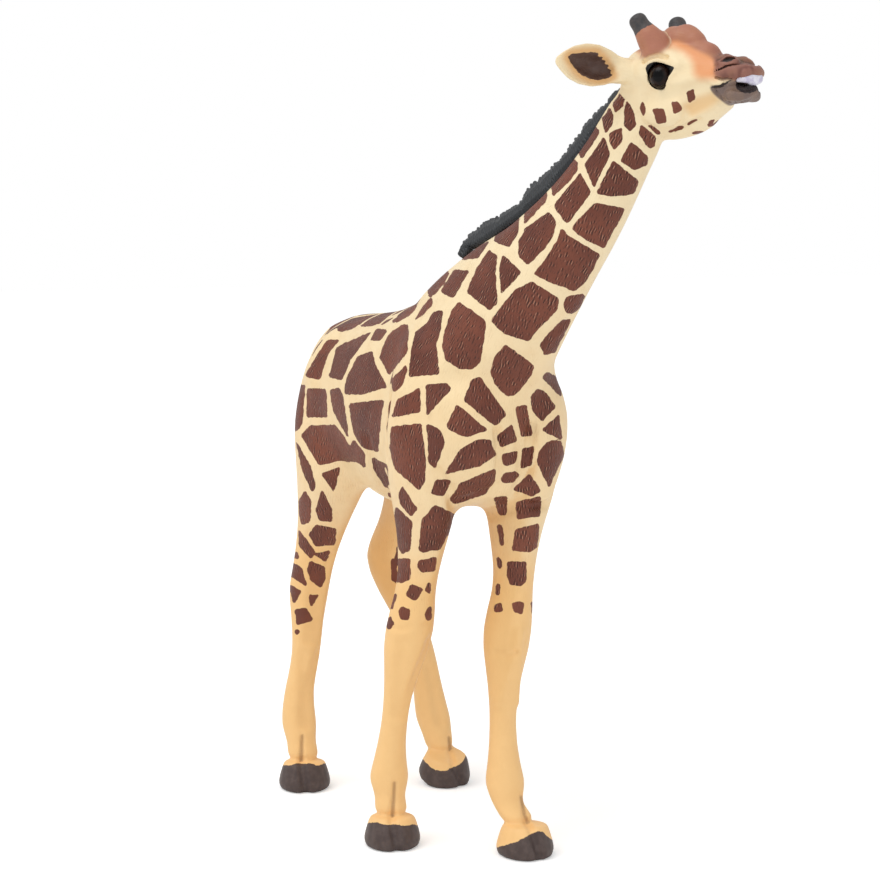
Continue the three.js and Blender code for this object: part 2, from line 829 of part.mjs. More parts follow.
function maneForm() {
  const stepsPerTuft = 2;
  const count = maneTufts * stepsPerTuft;
  const rings = Array.from({ length: count + 1 }, (_, i) => {
    const share = i / count;
    const along = THREE.MathUtils.lerp(maneEndShare, maneStartShare, share);
    const [, back] = neckSection(along);
    const { left, nape } = neckAxes(along);
    const foot = neckPoint(along).addScaledVector(nape, back * neckDepth);
    const tuft = (i % stepsPerTuft) / stepsPerTuft;
    const crest = Math.max(endRounding(share, ...maneRoundingShares), maneLeastRiseShare);
    const high = (maneHeight - maneTuftDepth * tuft) * crest;
    const narrowing = 1 - maneGapNarrowingShare * tuft;
    const wide = (maneThickness / 2) * Math.max(crest, maneLeastWidthShare) * narrowing;
    return eggRing(foot, left, nape, wide, high, maneHeight / 2, maneRound);
  });
  return toSolid(skin(rings));
}

// Tail: a thin dock that falls from the rump and carries a tuft of long hair
const tailPathShares = [
  // drop, then how far back and to the left, all as shares of the drop
  [0, 0, 0],
  [0.12, -0.08, 0],
  [0.35, -0.16, -0.02],
  [0.65, -0.17, -0.06],
  [1, -0.17, -0.1],
  [1.4, -0.17, -0.14],
];
const tailTable = smoothTable(tailPathShares);
const tailRootShares = [-0.49, 0.055, 0.24];
const tailRoot = trunkPlace(...tailRootShares);
const tailTaperShares = [1.25, 0.8];
const tuftStartShare = 1 - tuftLength / tailDrop / 2;
const tuftEndShare = 1 + tuftLength / tailDrop / 2;

function tailPoint(share) {
  const [back, left] = tailTable(share);
  return tailRoot.clone().add(new THREE.Vector3(back, left, -share).multiplyScalar(tailDrop));
}

function tailForm() {
  const rings = Array.from({ length: tailSteps.along + 1 }, (_, i) => {
    const share = (i / tailSteps.along) * tuftStartShare;
    const radius = (tailDiameter / 2) * THREE.MathUtils.lerp(...tailTaperShares, share);
    return eggRing(tailPoint(share), leftAxis, forwardAxis, radius, radius, radius, tailSteps.round);
  });
  return toSolid(skin(rings));
}

// Tuft. Columns: place along it, and its width as a share of its diameter
const tuftShares = [
  [0, 0.54],
  [0.2, 0.92],
  [0.4, 1],
  [0.6, 0.84],
  [0.8, 0.54],
  [1, 0.16],
];
const tuftTable = smoothTable(tuftShares);

function tuftForm() {
  const steps = tailSteps.along / 2;
  const start = tuftStartShare + clearance / tailDrop;
  const rings = Array.from({ length: steps + 1 }, (_, i) => {
    const even = i / steps;
    const share = THREE.MathUtils.lerp(start, tuftEndShare, even);
    const [width] = tuftTable(even);
    const radius = (width * tuftDiameter) / 2;
    return eggRing(tailPoint(share), leftAxis, forwardAxis, radius, radius, radius, tailSteps.round);
  });
  return toSolid(skin(rings));
}

function tailPeg(grow = 0) {
  const start = tailPoint(0);
  return peg(start, forwardAxis, tailPegDiameter, tailPegLength, grow);
}

// The pieces
const pegBack = neckPegLength / 2;
const neckPegShare = 0.12;
const headPegShare = 0.9;
const neckBaseAxes = neckAxes(neckPegShare);
const neckBase = neckPoint(neckPegShare);
const neckPeg = (grow = 0) =>
  peg(
    neckBase.clone().addScaledVector(neckBaseAxes.along, pegBack),
    neckBaseAxes.along.clone().negate(),
    neckPegDiameter,
    pegBack + neckPegLength,
    grow,
  );
const headPeg = (grow = 0) => {
  const { along } = neckAxes(1);
  return peg(neckPoint(headPegShare), along, headPegDiameter, headPegLength, grow);
};

const palette = {
  coat: { color: 0xe6c388, roughness: 0.62, metalness: 0 },
  horn: { color: 0x8c4b38, roughness: 0.55, metalness: 0 },
  ear: { color: 0xe3bd7d, roughness: 0.6, metalness: 0 },
  mane: { color: 0x2b2c2f, roughness: 0.6, metalness: 0 },
  hoof: { color: 0x40322f, roughness: 0.45, metalness: 0 },
  eye: { color: 0x0d0a09, roughness: 0.12, metalness: 0 },
  tongue: { color: 0xcfcbe0, roughness: 0.4, metalness: 0 },
};

const figure = new THREE.Group();

function addPiece(name, solid, material) {
  const geometry = toGeometry(solid.simplify(finestDetail));
  const mesh = new THREE.Mesh(geometry, new THREE.MeshStandardMaterial(palette[material]));
  mesh.name = name;
  figure.add(mesh);
}

const headSolid = inFigure(headForm());
const headGrown = inFigure(headForm(clearance));
const trunkGrown = trunkForm(clearance);
const trunkCore = trunkForm(-legSeatDepth);
const neckGrown = neckForm(clearance);

const trunkSockets = [neckPeg(clearance), tailPeg(clearance)];
for (const leg of legs) {
  trunkSockets.push(legForm(leg, clearance).subtract(trunkForm(-legSeatDepth - clearance)));
  trunkSockets.push(legPeg(leg, clearance));
}
addPiece("trunk", carve(trunkForm(), trunkSockets), "coat");

const neckSolid = carve(neckForm(), [trunkGrown, headGrown]);
addPiece("neck", union([neckSolid, neckPeg(), headPeg()]), "coat");

const headSockets = [headPeg(clearance), inFigure(mouthSlit()), inFigure(tongueForm(clearance))];
for (const sign of [-1, 1]) {
  headSockets.push(inFigure(eyeForm(sign, clearance)));
  headSockets.push(inFigure(earPeg(sign, clearance)));
  headSockets.push(inFigure(hornPeg(sign, clearance)));
  headSockets.push(inFigure(nostril(sign)));
}
addPiece("head", carve(headSolid, headSockets), "coat");

for (const leg of legs) {
  const hoof = carve(hoofForm(leg), [hoofCleft(leg)]);
  const limb = carve(legForm(leg), [trunkCore, neckGrown, hoofForm(leg, clearance)]);
  addPiece(leg.name, union([limb, legPeg(leg)]), "coat");
  addPiece(leg.hoof, hoof, "hoof");
}

for (const [side, sign] of [["right", -1], ["left", 1]]) {
  const ear = carve(inFigure(earForm(sign)), [headGrown, neckGrown]);
  addPiece(`ear_${side}`, union([ear, inFigure(earPeg(sign))]), "ear");
  const horn = carve(inFigure(hornForm(sign)), [headGrown]);
  addPiece(`horn_${side}`, union([horn, inFigure(hornPeg(sign))]), "horn");
  addPiece(`eye_${side}`, inFigure(eyeForm(sign)), "eye");
}
addPiece("tongue", inFigure(tongueForm()), "tongue");

addPiece("mane", carve(maneForm(), [trunkGrown, neckGrown, headGrown]), "mane");
addPiece("tail", union([carve(tailForm(), [trunkGrown]), tailPeg()]), "coat");
addPiece("tail_tuft", tuftForm(), "mane");

// The frame's origin is on the floor under the middle of the figure
const bounds = new THREE.Box3().setFromObject(figure);
const middle = bounds.getCenter(new THREE.Vector3());
figure.position.set(-middle.x, -middle.y, -bounds.min.z);

const model = new THREE.Group();
model.add(figure);

export default model;
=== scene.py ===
import math
import bpy
import bmesh
import numpy as np
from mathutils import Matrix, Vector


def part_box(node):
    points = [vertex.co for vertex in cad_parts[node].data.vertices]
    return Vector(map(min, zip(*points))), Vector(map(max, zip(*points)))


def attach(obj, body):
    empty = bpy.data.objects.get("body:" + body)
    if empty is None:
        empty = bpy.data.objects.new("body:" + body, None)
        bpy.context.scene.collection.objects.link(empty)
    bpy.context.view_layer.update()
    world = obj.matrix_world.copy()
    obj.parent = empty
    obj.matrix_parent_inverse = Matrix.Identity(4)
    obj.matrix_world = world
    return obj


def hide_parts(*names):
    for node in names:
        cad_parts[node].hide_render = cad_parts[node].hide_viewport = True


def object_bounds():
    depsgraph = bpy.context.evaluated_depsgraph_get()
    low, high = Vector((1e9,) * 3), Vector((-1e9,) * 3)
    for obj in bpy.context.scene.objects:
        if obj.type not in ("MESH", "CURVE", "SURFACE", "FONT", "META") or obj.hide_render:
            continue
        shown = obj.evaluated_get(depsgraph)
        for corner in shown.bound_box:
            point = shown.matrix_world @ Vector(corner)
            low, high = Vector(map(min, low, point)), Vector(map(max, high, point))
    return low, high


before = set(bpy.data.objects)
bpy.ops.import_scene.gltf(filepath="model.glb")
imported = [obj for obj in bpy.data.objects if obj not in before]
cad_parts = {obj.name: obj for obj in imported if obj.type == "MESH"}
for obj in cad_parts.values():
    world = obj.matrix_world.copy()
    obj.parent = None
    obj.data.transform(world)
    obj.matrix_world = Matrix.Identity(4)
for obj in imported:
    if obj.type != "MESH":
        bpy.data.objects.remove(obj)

import openvdb
from mathutils import Matrix, Vector
from mathutils.bvhtree import BVHTree

cad_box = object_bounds()
scene = bpy.context.scene

# Lengths below are millimetres in the row frame unless a name says otherwise
MM = 0.001
LEGS = ("foreleg_right", "foreleg_left", "hindleg_right", "hindleg_left")
HOOVES = ("fore_hoof_right", "fore_hoof_left", "hind_hoof_right", "hind_hoof_left")
BODY_NODES = ("trunk", "neck") + LEGS + HOOVES + ("tail",)
HEAD_NODES = ("head", "ear_right", "ear_left", "horn_right", "horn_left")


def box(node):
    low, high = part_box(node)
    return np.array(low) / MM, np.array(high) / MM


def middle(node):
    return sum(box(node)) / 2


def unit(vector):
    return np.asarray(vector) / np.linalg.norm(vector)


def lengths(vectors):
    """The lengths of vectors that are kept in rows."""
    return np.linalg.norm(vectors, axis=-1)


def units(vectors):
    """Vectors that are kept in rows, each brought to a length of 1."""
    return vectors / np.maximum(lengths(vectors), 1e-6)[:, None]


def places_along(chain):
    """How far along a chain each of its points lies."""
    return np.concatenate([[0], np.cumsum(lengths(np.diff(chain, axis=0)))])


def smooth_step(low, high, value):
    t = np.clip((value - low) / (high - low), 0, 1)
    return t * t * (3 - 2 * t)


# Camera: fitted to the four hooves and the outline of the photograph
PHOTO_PX = 880
LENS_PX = 2200.0
SENSOR_MM = 36.0
HEADING = math.radians(63)
PITCH = math.radians(6.3)
CAMERA_FROM_HOOF = np.array((454.7, -219.2, 147.8))
eye_point = middle("fore_hoof_right") + CAMERA_FROM_HOOF
right_axis = np.array((math.cos(HEADING), math.sin(HEADING), 0))
level_axis = np.array((-math.sin(HEADING), math.cos(HEADING), 0))
view_axis = level_axis * math.cos(PITCH) - np.array((0, 0, math.sin(PITCH)))
top_axis = np.cross(right_axis, view_axis)


def to_pixels(points):
    """Photo pixels and depth of points."""
    offset = np.atleast_2d(points) - eye_point
    depth = offset @ view_axis
    across = PHOTO_PX / 2 + LENS_PX * (offset @ right_axis) / depth
    down = PHOTO_PX / 2 - LENS_PX * (offset @ top_axis) / depth
    return np.stack([across, down, depth], 1)


def pixel_ray(px, py):
    ray = view_axis + right_axis * (px - PHOTO_PX / 2) / LENS_PX
    return unit(ray - top_axis * (py - PHOTO_PX / 2) / LENS_PX)


def add_camera():
    data = bpy.data.cameras.new("camera")
    data.sensor_width = SENSOR_MM
    data.lens = LENS_PX / PHOTO_PX * SENSOR_MM
    data.clip_start = 0.01
    data.clip_end = 20
    camera = bpy.data.objects.new("camera", data)
    scene.collection.objects.link(camera)
    axes = np.stack([right_axis, top_axis, -view_axis], 1)
    camera.matrix_world = Matrix.Translation(eye_point * MM) @ Matrix(axes.tolist()).to_4x4()
    scene.camera = camera


# Distance fields: a box of cells holds the signed distance to a form, below zero inside it
class Grid:
    """A box of cubic cells that distance fields are sampled on."""

    def __init__(self, low, high, cell, band):
        self.cell = cell
        self.band = band
        self.start = np.floor(np.asarray(low) / cell).astype(int)
        self.shape = np.ceil(np.asarray(high) / cell).astype(int) - self.start + 1

    def points(self):
        axes = [(self.start[i] + np.arange(self.shape[i])) * self.cell for i in range(3)]
        return np.stack(np.meshgrid(*axes, indexing="ij"), -1).astype(np.float32)

    def solid(self, points, triangles):
        """The field of a closed triangle mesh."""
        grid = openvdb.FloatGrid.createLevelSetFromPolygons(
            points=np.asarray(points, np.float64),
            triangles=np.asarray(triangles, np.uint32),
            transform=openvdb.createLinearTransform(voxelSize=self.cell),
            halfWidth=self.band / self.cell,
        )
        field = np.full(self.shape, self.band, np.float32)
        grid.copyToArray(field, ijk=tuple(int(v) for v in self.start))
        return field

    def surface(self, field):
        """The points and quads of the field's zero surface."""
        grid = openvdb.FloatGrid(self.band)
        grid.copyFromArray(field.astype(np.float32), ijk=tuple(int(v) for v in self.start))
        grid.transform = openvdb.createLinearTransform(voxelSize=self.cell)
        points, _, quads = grid.convertToPolygons()
        return np.array(points, np.float64), np.array(quads, np.int64)

    def sample(self, field, points):
        """The field at points, read between cells."""
        place = np.asarray(points) / self.cell - self.start
        place = np.clip(place, 0, np.array(self.shape) - 1.001)
        corner = place.astype(int)
        part = place - corner
        total = np.zeros(len(place))
        for step in np.ndindex(2, 2, 2):
            weight = np.prod(np.where(step, part, 1 - part), 1)
            i, j, k = (corner + step).T
            total += weight * field[i, j, k]
        return total

    def blurred(self, field, spread):
        """The field with its facets smoothed away."""
        reach = int(math.ceil(2.2 * spread / self.cell))
        weights = np.exp(-0.5 * (np.arange(-reach, reach + 1) * self.cell / spread) ** 2)
        weights /= weights.sum()
        for axis in range(3):
            padded = np.pad(field, [(reach, reach) if a == axis else (0, 0) for a in range(3)], "edge")
            total = np.zeros_like(field)
            for k, weight in enumerate(weights):
                part = [slice(None)] * 3
                part[axis] = slice(k, k + field.shape[axis])
                total += np.float32(weight) * padded[tuple(part)]
            field = total
        return field


def join(a, b, reach):
    """Joins two fields with a fillet about as wide as reach."""
    near = np.clip(1 - np.abs(a - b) / reach, 0, None)
    return np.minimum(a, b) - near * near * reach / 4


def cut(a, b, reach):
    """Cuts the form b out of the form a, with a rounded edge."""
    return -join(-a, b, reach)


def node_triangles(node):
    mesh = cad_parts[node].data
    mesh.calc_loop_triangles()
    points = np.empty(len(mesh.vertices) * 3, np.float32)
    mesh.vertices.foreach_get("co", points)
    triangles = np.empty(len(mesh.loop_triangles) * 3, np.int32)
    mesh.loop_triangles.foreach_get("vertices", triangles)
    return points.reshape(-1, 3) / MM, triangles.reshape(-1, 3)


def chain_field(points, chain, radii):
    """The field of a chain of rounded links. Each point of the chain may have its own radius."""
    chain = np.atleast_2d(chain)
    radii = np.broadcast_to(radii, len(chain))
    if len(chain) == 1:
        return lengths(points - chain[0]) - radii[0]
    best = np.full(points.shape[:-1], 99, np.float32)
    for a, b, thick, thin in zip(chain[:-1], chain[1:], radii[:-1], radii[1:]):
        along = b - a
        t = np.clip((points - a) @ along / (along @ along), 0, 1)
        gap = lengths(points - a - t[..., None] * along)
        best = np.minimum(best, gap - thick - t * (thin - thick))
    return best


def shape_by_chain(grid, field, places, chain, radii, fillet, combine):
    """Joins a chain of links to a field, or cuts it out, in the cells near the chain."""
    chain = np.atleast_2d(chain)
    reach = np.max(radii) + fillet + 2 * grid.cell
    low = np.floor((chain.min(0) - reach) / grid.cell).astype(int) - grid.start
    high = np.ceil((chain.max(0) + reach) / grid.cell).astype(int) - grid.start + 1
    part = tuple(slice(a, b) for a, b in zip(np.clip(low, 0, None), np.clip(high, 0, None)))
    form = chain_field(places[part], chain.astype(np.float32), radii)
    field[part] = combine(field[part], form, fillet)


# Body skin: its cells, how far its facets are smoothed, and its fillets
BODY_CELL = 0.5
BODY_BAND = 6.0
BODY_BLUR = 1.2
BODY_BLUR_LOSS = 0.1
HOOF_BLUR = 0.45
NECK_FILLET = 7
LEG_FILLET = 4
HOOF_FILLET = 1.2
TAIL_FILLET = 2
box_low, box_high = (np.array(corner) / MM for corner in cad_box)
GRID_MARGIN = 3
body_grid = Grid(box_low - GRID_MARGIN, box_high + GRID_MARGIN, BODY_CELL, BODY_BAND)
node_fields = {}


# Forms of the body. Each runs along pixels of the near side, then come its radius, how far its middle
# line lies under the skin, its fillet, and the node about whose middle plane it is mirrored, if any.
BODY_RIDGES = (
    (((413, 345), (404, 380), (398, 425)), 4.0, 3.6, 5.0, "trunk"),
    (((332, 338), (322, 352), (312, 372)), 3.4, 3.05, 4.0, "trunk"),
    (((478, 415), (488, 440), (484, 466)), 3.4, 3.0, 4.0, "trunk"),
    (((519, 632), (518, 660), (517, 710)), 0.9, 0.68, 1.2, "foreleg_left"),
)
BODY_GROOVES = (
    (((394, 394), (389, 430), (386.5, 458)), 0.9, -0.5, 1.2, None),
    (((450, 380), (475, 372), (500, 388)), 3.0, -2.3, 3.0, None),
    (((497, 430), (500, 455), (498, 480)), 1.0, -0.45, 1.4, "trunk"),
    (((519, 440), (521, 470)), 0.8, -0.4, 1.2, None),
    (((454, 503), (475, 496), (494, 489)), 0.9, -0.5, 1.2, "trunk"),
    (((438, 472), (452, 498), (457, 520)), 1.0, -0.45, 1.4, "trunk"),
    (((498, 484), (493, 494)), 0.8, -0.35, 1.0, "trunk"),
    (((366, 440), (374, 470), (386, 494)), 1.4, -0.75, 2.0, "trunk"),
    (((524, 372), (532, 352), (550, 335), (572, 318)), 0.9, -0.6, 1.4, None),
    (((402, 645), (401, 680), (398, 715)), 1.6, -1.2, 1.6, "foreleg_right"),
    (((393, 628), (402, 630), (411, 627)), 0.45, -0.2, 0.6, None),
    (((423, 625), (430, 622)), 0.45, -0.2, 0.6, None),
    (((496, 653), (506, 656), (516, 652)), 0.6, -0.35, 1.0, None),
    (((318, 560), (314, 600), (309, 640)), 1.3, -0.95, 1.6, "hindleg_right"),
    (((303, 655), (304, 700), (303, 725)), 1.3, -1.0, 1.5, "hindleg_right"),
    (((429, 668), (434, 695), (440, 722)), 1.2, -0.9, 1.5, "hindleg_left"),
)
# The clefts of the pasterns and hooves, from top to sole
CLEFTS_PX = {
    "hindleg_right": ((302, 736), (301.5, 750), (301, 765), (303, 778), (306, 792)),
    "foreleg_right": ((394.5, 783), (393.5, 800), (392, 822), (395, 838), (398, 850)),
    "foreleg_left": ((521, 797), (524.5, 815), (531, 830), (536, 842), (540, 856)),
    "hindleg_left": ((449, 738), (450.5, 752), (454, 766), (459, 776), (464, 790)),
}
CLEFT_RADII = (0.35, 0.5, 0.75, 0.9, 1.0)
CLEFT_DEPTH = 0.05
CLEFT_FILLET = 0.7


def plain_body_field():
    for node in BODY_NODES:
        node_fields[node] = body_grid.solid(*node_triangles(node))
    field = join(node_fields["trunk"], node_fields["neck"], NECK_FILLET)
    for leg in LEGS:
        field = join(field, node_fields[leg], LEG_FILLET)
    field = body_grid.blurred(field, BODY_BLUR) - BODY_BLUR_LOSS
    hooves = np.minimum.reduce([node_fields[hoof] for hoof in HOOVES])
    field = join(field, body_grid.blurred(hooves, HOOF_BLUR), HOOF_FILLET)
    return join(field, body_grid.blurred(node_fields["tail"], HOOF_BLUR), TAIL_FILLET)


# How closely a chain follows a drawn line, in pixels, and then the skin
PX_STEP = 4.0
LONGEST_LINK = 0.8


def drawn_points(chain_px, tree, towards):
    """Points of a surface along a line of pixels."""
    chain_px = np.asarray(chain_px, float)
    along = places_along(chain_px)
    spots = np.unique(np.concatenate([along, np.arange(0, along[-1], PX_STEP)]))
    line = np.stack([np.interp(spots, along, chain_px[:, i]) for i in (0, 1)], 1)
    return np.array([on_surface(tree, px, py, towards) for px, py in line])


def sunk(points, tree, depth):
    """A close chain of points brought onto a surface, then moved to a depth under it."""
    close = [points[0]]
    for a, b in zip(points[:-1], points[1:]):
        parts = int(np.linalg.norm(b - a) / LONGEST_LINK) + 1
        close.extend(a + (b - a) * k / parts for k in range(1, parts + 1))
    nearest = [tree.find_nearest(Vector(point)) for point in close]
    return np.array([np.array(place) - depth * np.array(normal) for place, normal, *_ in nearest])


def spaced(radii, count):
    """Radii given from one end of a chain to the other, for each of its points."""
    return np.interp(np.linspace(0, 1, count), np.linspace(0, 1, np.size(radii)), np.ravel(radii))


# Over how much of a node's length its middle is averaged
MIRROR_SLICE = 5.0


def across_node(chain, node):
    """A chain mirrored to a node's other side, about its middle at each point's place."""
    points = node_triangles(node)[0]
    axis = 0 if node == "trunk" else 2
    apart = (points[None, :, axis] - chain[:, None, axis]) / MIRROR_SLICE
    near = np.exp(-apart ** 2)
    mirrored = chain.copy()
    mirrored[:, 1] = 2 * (near @ points[:, 1]) / near.sum(1) - chain[:, 1]
    return mirrored


def body_skin():
    """One skin over the trunk, neck, legs, hooves and tail, with fillets where the mouldings meet."""
    field = plain_body_field()
    tree = BVHTree.FromPolygons(*(part.tolist() for part in body_grid.surface(field)))
    places = body_grid.points()
    for forms, combine in ((BODY_RIDGES, join), (BODY_GROOVES, cut)):
        for chain_px, radius, depth, fillet, mirror_node in forms:
            line = drawn_points(chain_px, tree, np.mean(chain_px, 0))
            for points in (line, across_node(line, mirror_node)) if mirror_node else (line,):
                shape_by_chain(body_grid, field, places, sunk(points, tree, depth), radius, fillet, combine)
    for chain_px in CLEFTS_PX.values():
        chain = sunk(drawn_points(chain_px, tree, np.mean(chain_px, 0)), tree, CLEFT_DEPTH)
        radii = spaced(CLEFT_RADII, len(chain))
        shape_by_chain(body_grid, field, places, chain, radii, CLEFT_FILLET, cut)
    return field


def vertex_normals(points, quads):
    across = points[quads[:, 2]] - points[quads[:, 0]]
    along = points[quads[:, 3]] - points[quads[:, 1]]
    flat = np.cross(across, along)
    normals = np.zeros_like(points)
    for corner in range(4):
        np.add.at(normals, quads[:, corner], flat)
    return units(normals)


def on_surface(tree, px, py, towards):
    """Where a pixel's ray meets a surface. A ray that just misses is drawn in towards a pixel."""
    for pull in np.linspace(0, 0.5, 26):
        aim = np.array((px, py)) * (1 - pull) + np.array(towards) * pull
        hit = tree.ray_cast(Vector(eye_point), Vector(pixel_ray(*aim)))[0]
        if hit is not None:
            return np.array(hit)
    raise ValueError("no surface near pixel %s %s" % (px, py))


add_camera()
body_field = body_skin()
body_points, body_quads = body_grid.surface(body_field)
body_tree = BVHTree.FromPolygons(body_points.tolist(), body_quads.tolist())


# Head frame: x towards the lips, y to the left, z up, its origin between the poll's two sides
EYES_AHEAD = 9.0
TONGUE_BELOW_EYES = math.radians(5)
eyes_middle = (middle("eye_right") + middle("eye_left")) / 2
head_left = unit(middle("eye_left") - middle("eye_right"))
to_tongue = middle("tongue") - eyes_middle
to_tongue = unit(to_tongue - head_left * (to_tongue @ head_left))
tongue_up = np.cross(to_tongue, head_left)
head_ahead = to_tongue * math.cos(TONGUE_BELOW_EYES) + tongue_up * math.sin(TONGUE_BELOW_EYES)
head_axes = np.stack([head_ahead, head_left, np.cross(head_ahead, head_left)])
head_origin = eyes_middle - EYES_AHEAD * head_ahead
HEAD_CENTRE_PX = (680, 88)


def to_head(points):
    return (np.asarray(points) - head_origin) @ head_axes.T


def from_head(points):
    return np.asarray(points) @ head_axes + head_origin


# Head skin, on finer cells than the body's
HEAD_CELL = 0.22
HEAD_BAND = 3.0
HEAD_MARGIN = 2
NECK_SHOWN = 9
HEAD_BLUR = 0.42
HEAD_CLOSING = 0.2
EAR_BLUR = 0.28
EAR_BLUR_LOSS = 0.14
EAR_FILLET = 1.4
THROAT_FILLET = 3
EYE_GAP = 0.12
EYE_FILLET = 0.3
neck_aim = unit(head_origin - middle("neck"))
NECK_CUT_PX = (632, 158)
neck_cut = on_surface(body_tree, *NECK_CUT_PX, NECK_CUT_PX)
head_low = np.min([box(node)[0] for node in HEAD_NODES] + [neck_cut - NECK_SHOWN], 0)
head_high = np.max([box(node)[1] for node in HEAD_NODES], 0)
head_grid = Grid(head_low - HEAD_MARGIN, head_high + HEAD_MARGIN, HEAD_CELL, HEAD_BAND)

# Forms of the head. Each runs along pixels of the near side and is mirrored to the far side. A third
# number gives how far left of the head's middle plane a point lies; without it the point is on the
# skin. Then come the radius, how far the middle line lies under the skin, and the fillet.
HEAD_RIDGES = (
    (((640, 66), (645, 57), (655, 50.5), (667, 53), (677, 64)), 1.3, 0.65, 0.9),
    (((643, 72), (648, 82), (655, 90), (665, 84), (673, 73)), 0.7, 0.42, 0.6),
    (((643, 68), (648, 62), (656, 59.5), (665, 61), (676, 66.5)), 0.5, 0.05, 0.35),
    (((617, 70), (630, 70), (641, 72)), 2.2, 1.4, 2.0),
    (((572, 62), (584, 67), (598, 71), (612, 72)), 1.6, 1.5, 1.4),
    (((651, 33), (662, 36.5), (674, 38)), 1.8, 1.25, 2.2),
    (((689, 30), (700, 38), (712, 48.5)), 1.4, 1.0, 2.0),
    (((724, 58), (731, 56.5), (739, 57), (744, 61)), 1.15, 0.6, 0.7),
    (((716, 74), (727, 70.5), (738, 68), (748, 67.5), (756, 71), (760, 76)), 1.15, 0.6, 0.5),
    (((716, 70), (724, 66), (733, 64)), 0.9, 0.5, 0.5),
    (((714, 82), (720, 83)), 1.1, 0.65, 0.6),
    (((716, 91), (726, 94.5), (738, 96), (748, 95.5)), 1.5, 0.95, 0.8),
    (((731, 95.5, -3.8), (740, 95.5, -2.7), (747, 93, -1.4), (751.5, 90.5, 0)), 1.2, 0, 0.8),
    (((676, 129), (690, 121), (699, 115.6), (707, 111), (717, 105.6)), 1.0, 0.65, 0.8),
    (((670, 90), (688, 82), (706, 80)), 1.6, 1.35, 1.6),
)
HEAD_GROOVES = (
    (((723.5, 60.5), (727, 59.5), (733, 59.3)), 0.6, 0.05, 0.3),
    (((712, 86.8), (720, 86), (726, 83), (731, 80)), 0.35, 0.05, 0.3),
    (((736, 87.5, -3.6), (741, 88.5, -3.0), (746, 88.3, -2.2), (750, 87.5, -1.4)), 0.75, 0, 0.3),
    (((716, 77), (722, 79.5), (728, 79)), 0.3, 0.0, 0.3),
    (((716, 72), (726, 66.5), (740, 65), (752, 66.5)), 0.3, -0.05, 0.3),
    (((645, 62), (650, 57.5), (658, 55.5), (668, 58)), 0.45, -0.22, 0.5),
    (((648, 100), (664, 96), (684, 92), (704, 88)), 1.5, -1.1, 1.2),
    (((690, 108), (700, 102), (712, 97)), 1.6, -1.2, 1.4),
    (((717, 90), (718, 96)), 0.25, -0.02, 0.2),
    (((722, 92), (723, 100)), 0.25, -0.02, 0.2),
    (((728, 93), (730, 102)), 0.25, -0.02, 0.2),
    (((734, 94), (736, 103)), 0.25, -0.02, 0.2),
    (((740, 95), (742, 102)), 0.25, -0.02, 0.2),
    (((746, 95), (748, 100)), 0.25, -0.02, 0.2),
    (((668, 132), (684, 126), (700, 118)), 0.4, -0.2, 0.4),
    (((571, 59), (580, 62), (591, 66), (602, 70)), (1.3, 1.9, 2.3, 1.9), -1.15, 0.5),
)


def closed_field(grid, nodes):
    """Several nodes as one, with the gaps between them closed."""
    for node in nodes:
        node_fields[node] = grid.solid(*node_triangles(node))
    return np.minimum.reduce([node_fields[node] for node in nodes]) - HEAD_CLOSING


def at_side(px, py, lateral):
    """The place on a pixel's ray that lies a distance to the left of the head's middle plane."""
    ray = pixel_ray(px, py)
    return eye_point + ray * ((lateral - (eye_point - head_origin) @ head_left) / (ray @ head_left))


def form_chain(chain_px, tree, depth):
    """A chain in the head's frame, on the near side, from its pixels and its depth under the skin."""
    if len(chain_px[0]) == 3:
        chain = np.array([to_head(at_side(*spot)) for spot in chain_px])
    else:
        line = drawn_points(chain_px, tree, HEAD_CENTRE_PX)
        chain = np.array([to_head(point) for point in sunk(line, tree, depth)])
    chain[:, 1] = -np.abs(chain[:, 1])
    return chain


def plain_head_field(places):
    nodes = tuple(node for node in HEAD_NODES if "ear" not in node) + ("eye_right", "eye_left")
    base = head_grid.blurred(closed_field(head_grid, nodes), HEAD_BLUR) + HEAD_CLOSING
    ears = closed_field(head_grid, ("ear_right", "ear_left")) + HEAD_CLOSING
    base = join(base, head_grid.blurred(ears, EAR_BLUR) - EAR_BLUR_LOSS, EAR_FILLET)
    neck = body_grid.sample(body_field, places.reshape(-1, 3)).reshape(base.shape)
    return join(base, neck.astype(np.float32), THROAT_FILLET)


def head_skin():
    places = head_grid.points()
    field = plain_head_field(places)
    tree = BVHTree.FromPolygons(*(part.tolist() for part in head_grid.surface(field)))
    shapes = []
    for forms, combine in ((HEAD_RIDGES, join), (HEAD_GROOVES, cut)):
        for chain_px, radii, depth, fillet in forms:
            chain = form_chain(chain_px, tree, depth)
            shapes.append((chain, spaced(radii, len(chain)), fillet, combine))
    shapes.append((to_head(middle("eye_right")), EYE_RADIUS + EYE_GAP, EYE_FILLET, cut))
    for chain, radii, fillet, combine in shapes:
        for side in (1, -1):
            placed = from_head(chain * (1, side, 1))
            shape_by_chain(head_grid, field, places, placed, radii, fillet, combine)
    return field


EYE_RADIUS = np.max(np.subtract(*box("eye_right")[::-1])) / 2
head_field = head_skin()
head_points, head_quads = head_grid.surface(head_field)


